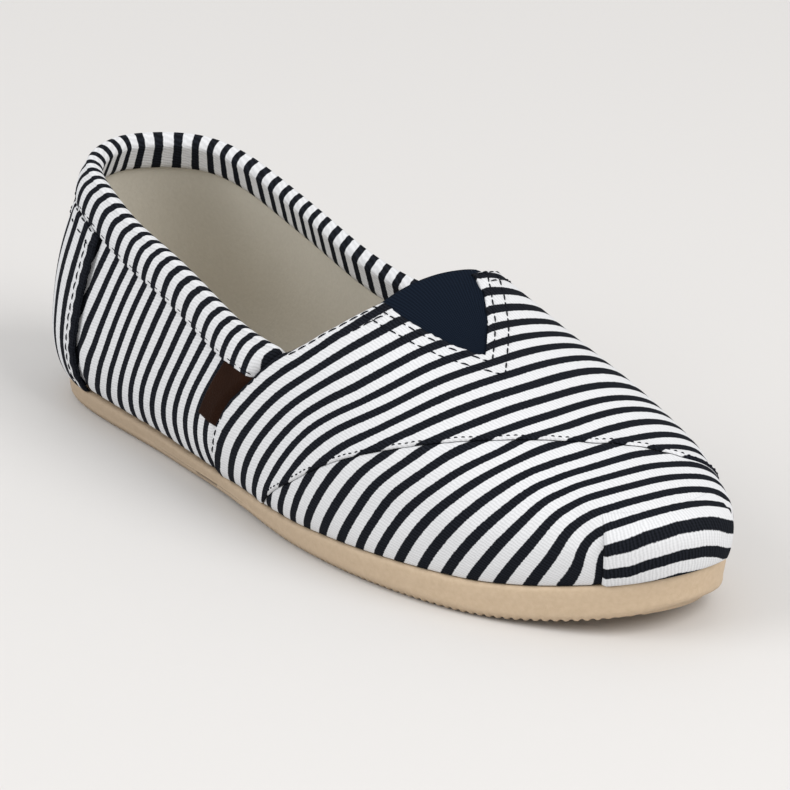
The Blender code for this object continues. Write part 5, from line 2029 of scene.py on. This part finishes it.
def make_vamp_stitching(vamp):
    """Navy thread along the rear seams, the throat, the V and the toe seam."""
    paths = []
    tree = surface_tree(vamp)
    for side in SIDES:
        points, normals = REAR_LINES[side]
        for distance in (STITCH_NEAR, STITCH_FAR):
            first = 6 if distance == STITCH_NEAR else int(np.argmax(points[:, 0] > 0.128))
            line = inset_path(tree, points[first:], normals[first:], side * distance)
            line = [row for row in line if not in_v(row[0] / MM, row[1] / MM, 1.0)]
            paths.append(np.array(line))
    for (points, normals), sign in zip(V_LINES, (-1, 1)):
        for distance in (V_STITCH_NEAR, V_STITCH_FAR):
            ahead = points[-1] - points[-2]
            ahead *= MM / np.linalg.norm(ahead)
            steps = np.arange(1, 1.75 * distance / MM + 1)[:, None]
            longer = np.concatenate([points, points[-1] + steps * ahead])
            more = np.concatenate([normals, np.repeat(normals[-1:], len(steps), axis=0)])
            paths.append(inset_path(tree, longer, more, sign * distance))
    points, normals = TOE_LINE
    vertices, faces = stitches(paths)
    small = [inset_path(tree, points[8:-8], normals[8:-8], TOE_STITCH)]
    small_vertices, small_faces = stitches(small, SMALL_STITCH, SMALL_GAP, THIN_THREAD)
    faces += [tuple(index + len(vertices) for index in face) for face in small_faces]
    vertices += small_vertices
    thread = make_piece("vamp_stitching", vertices, faces, THREAD_CLOTH, "striped_canvas")
    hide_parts("upper")


def make_counter_stitching(counter):
    """Two rows of thread up the counter's front edges and along its rim."""
    tree = surface_tree(counter)
    paths = []
    for side in SIDES:
        up = np.linspace(0.01, 0.985, 90)
        arc = COUNTER_FOOT_ARC + (COUNTER_TOP_ARC - COUNTER_FOOT_ARC) * up
        top = counter_rim(side, np.array([COUNTER_TOP_ARC]))[0]
        front = edge_with_normals(side, arc, top * up)
        round_arc = np.linspace(COUNTER_TOP_ARC, 1, 90)
        crown = edge_with_normals(side, round_arc, counter_rim(side, round_arc))
        for distance in (STITCH_NEAR, COUNTER_STITCH_FAR):
            for line in (front, crown):
                paths.append(inset_path(tree, *line, -side * distance))
    thread = make_piece("counter_stitching", *stitches(paths), THREAD_CLOTH, "counter_canvas")
    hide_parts("heel_counter")


def make_binding_stitching():
    """One row of thread just above the binding's hem."""
    paths = []
    for side in SIDES:
        arc = side_arcs(side, 0.1205, step=0.002, heel=60)
        hem = rise_under(side, arc, lambda x: hem_line(x) + BINDING_STITCH_UP)
        paths.append(np.concatenate(edge_with_normals(side, arc, hem, BINDING_STITCH_OUT), axis=1))
    thread = make_piece("binding_stitching", *stitches(paths, radius=THIN_THREAD),
                        THREAD_CLOTH, "binding_canvas")
    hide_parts("collar_band")


# ---- the stage --------------------------------------------------------------------


def make_floor():
    """A plain pale floor."""
    mesh = bpy.data.meshes.new("floor")
    square = ((-1, -1), (1, -1), (1, 1), (-1, 1))
    corners = [(x * FLOOR_REACH, y * FLOOR_REACH, 0) for x, y in square]
    mesh.from_pydata(corners, [], [(0, 1, 2, 3)])
    material, tree, shader = new_material("pale_floor", 0.7, specular=0.2)
    colour = mix(tree, noise(tree, 3.0), FLOOR_COLOUR, shaded(FLOOR_COLOUR, 0.985))
    tree.links.new(colour, shader.inputs["Base Color"])
    mesh.materials.append(material)
    floor = bpy.data.objects.new("floor", mesh)
    bpy.context.scene.collection.objects.link(floor)


FLOOR_COLOUR = (0.69, 0.679, 0.668)
FLOOR_REACH = 6.0


def make_light(name, place, size, power, colour):
    """A round soft light that faces the middle of the floor."""
    light = bpy.data.lights.new(name, "AREA")
    light.shape = "DISK"
    light.size = size
    light.energy = power
    light.color = colour
    lamp = bpy.data.objects.new(name, light)
    lamp.location = place
    lamp.rotation_euler = (-Vector(place)).to_track_quat("-Z", "Y").to_euler()
    bpy.context.scene.collection.objects.link(lamp)


def make_stage():
    """Floor, pale sky, a window ahead of the toe and a weaker fill on the outer side."""
    make_floor()
    world = bpy.data.worlds.new("pale_room")
    world.use_nodes = True
    sky = world.node_tree.nodes["Background"]
    sky.inputs["Color"].default_value = (1.0, 0.992, 0.985, 1)
    sky.inputs["Strength"].default_value = 0.73
    bpy.context.scene.world = world
    make_light("window", (1.7, 0.35, 1.6), 1.6, 31, (1.0, 0.985, 0.97))
    make_light("fill", (-0.6, -1.8, 1.4), 1.8, 20, (0.98, 0.99, 1.0))
    bpy.context.scene.view_settings.view_transform = "Standard"


# The photograph's view, degrees, metres and millimetres of lens.
CAMERA_AZIMUTH = 50.84
CAMERA_ELEVATION = 21.17
CAMERA_DISTANCE = 1.594
CAMERA_ROLL = 1.31
CAMERA_LENS = 262.0
CAMERA_AIM = (0.126, 0.0, 0.033)
CAMERA_CENTRE = (0.129, 0.004, 0.030)


def make_camera():
    """The photograph's view: from its place relative to the shoe, rolled as it is there."""
    a, e = np.radians(CAMERA_AZIMUTH), np.radians(CAMERA_ELEVATION)
    back = np.array([np.sin(a) * np.cos(e), -np.cos(a) * np.cos(e), np.sin(e)])
    place = Vector(PLACE + np.array(CAMERA_AIM) + CAMERA_DISTANCE * back)
    ahead = (Vector(PLACE + np.array(CAMERA_CENTRE)) - place).normalized()
    right = ahead.cross(Vector((0, 0, 1))).normalized()
    upward = right.cross(ahead)
    turn = np.radians(CAMERA_ROLL)
    up = upward * np.cos(turn) - right * np.sin(turn)
    right = ahead.cross(up)
    data = bpy.data.cameras.new("photo_view")
    data.lens = CAMERA_LENS
    data.sensor_width = 36.0
    data.clip_start = 0.05
    data.clip_end = 30
    camera = bpy.data.objects.new("photo_view", data)
    rotation = Matrix((right, up, -ahead)).transposed().to_4x4()
    camera.matrix_world = Matrix.Translation(place) @ rotation
    bpy.context.scene.collection.objects.link(camera)
    bpy.context.scene.camera = camera


def main():
    make_outsole()
    make_footbed()
    make_lining()
    vamp = make_vamp()
    make_toe_panel()
    make_toe_flap()
    make_quarter(LATERAL, "quarter_lateral")
    make_quarter(MEDIAL, "quarter_medial")
    make_gore()
    make_band()
    counter = make_counter()
    make_side_tag()
    make_heel_tab()
    make_vamp_stitching(vamp)
    make_counter_stitching(counter)
    make_binding_stitching()
    make_stage()
    make_camera()


main()
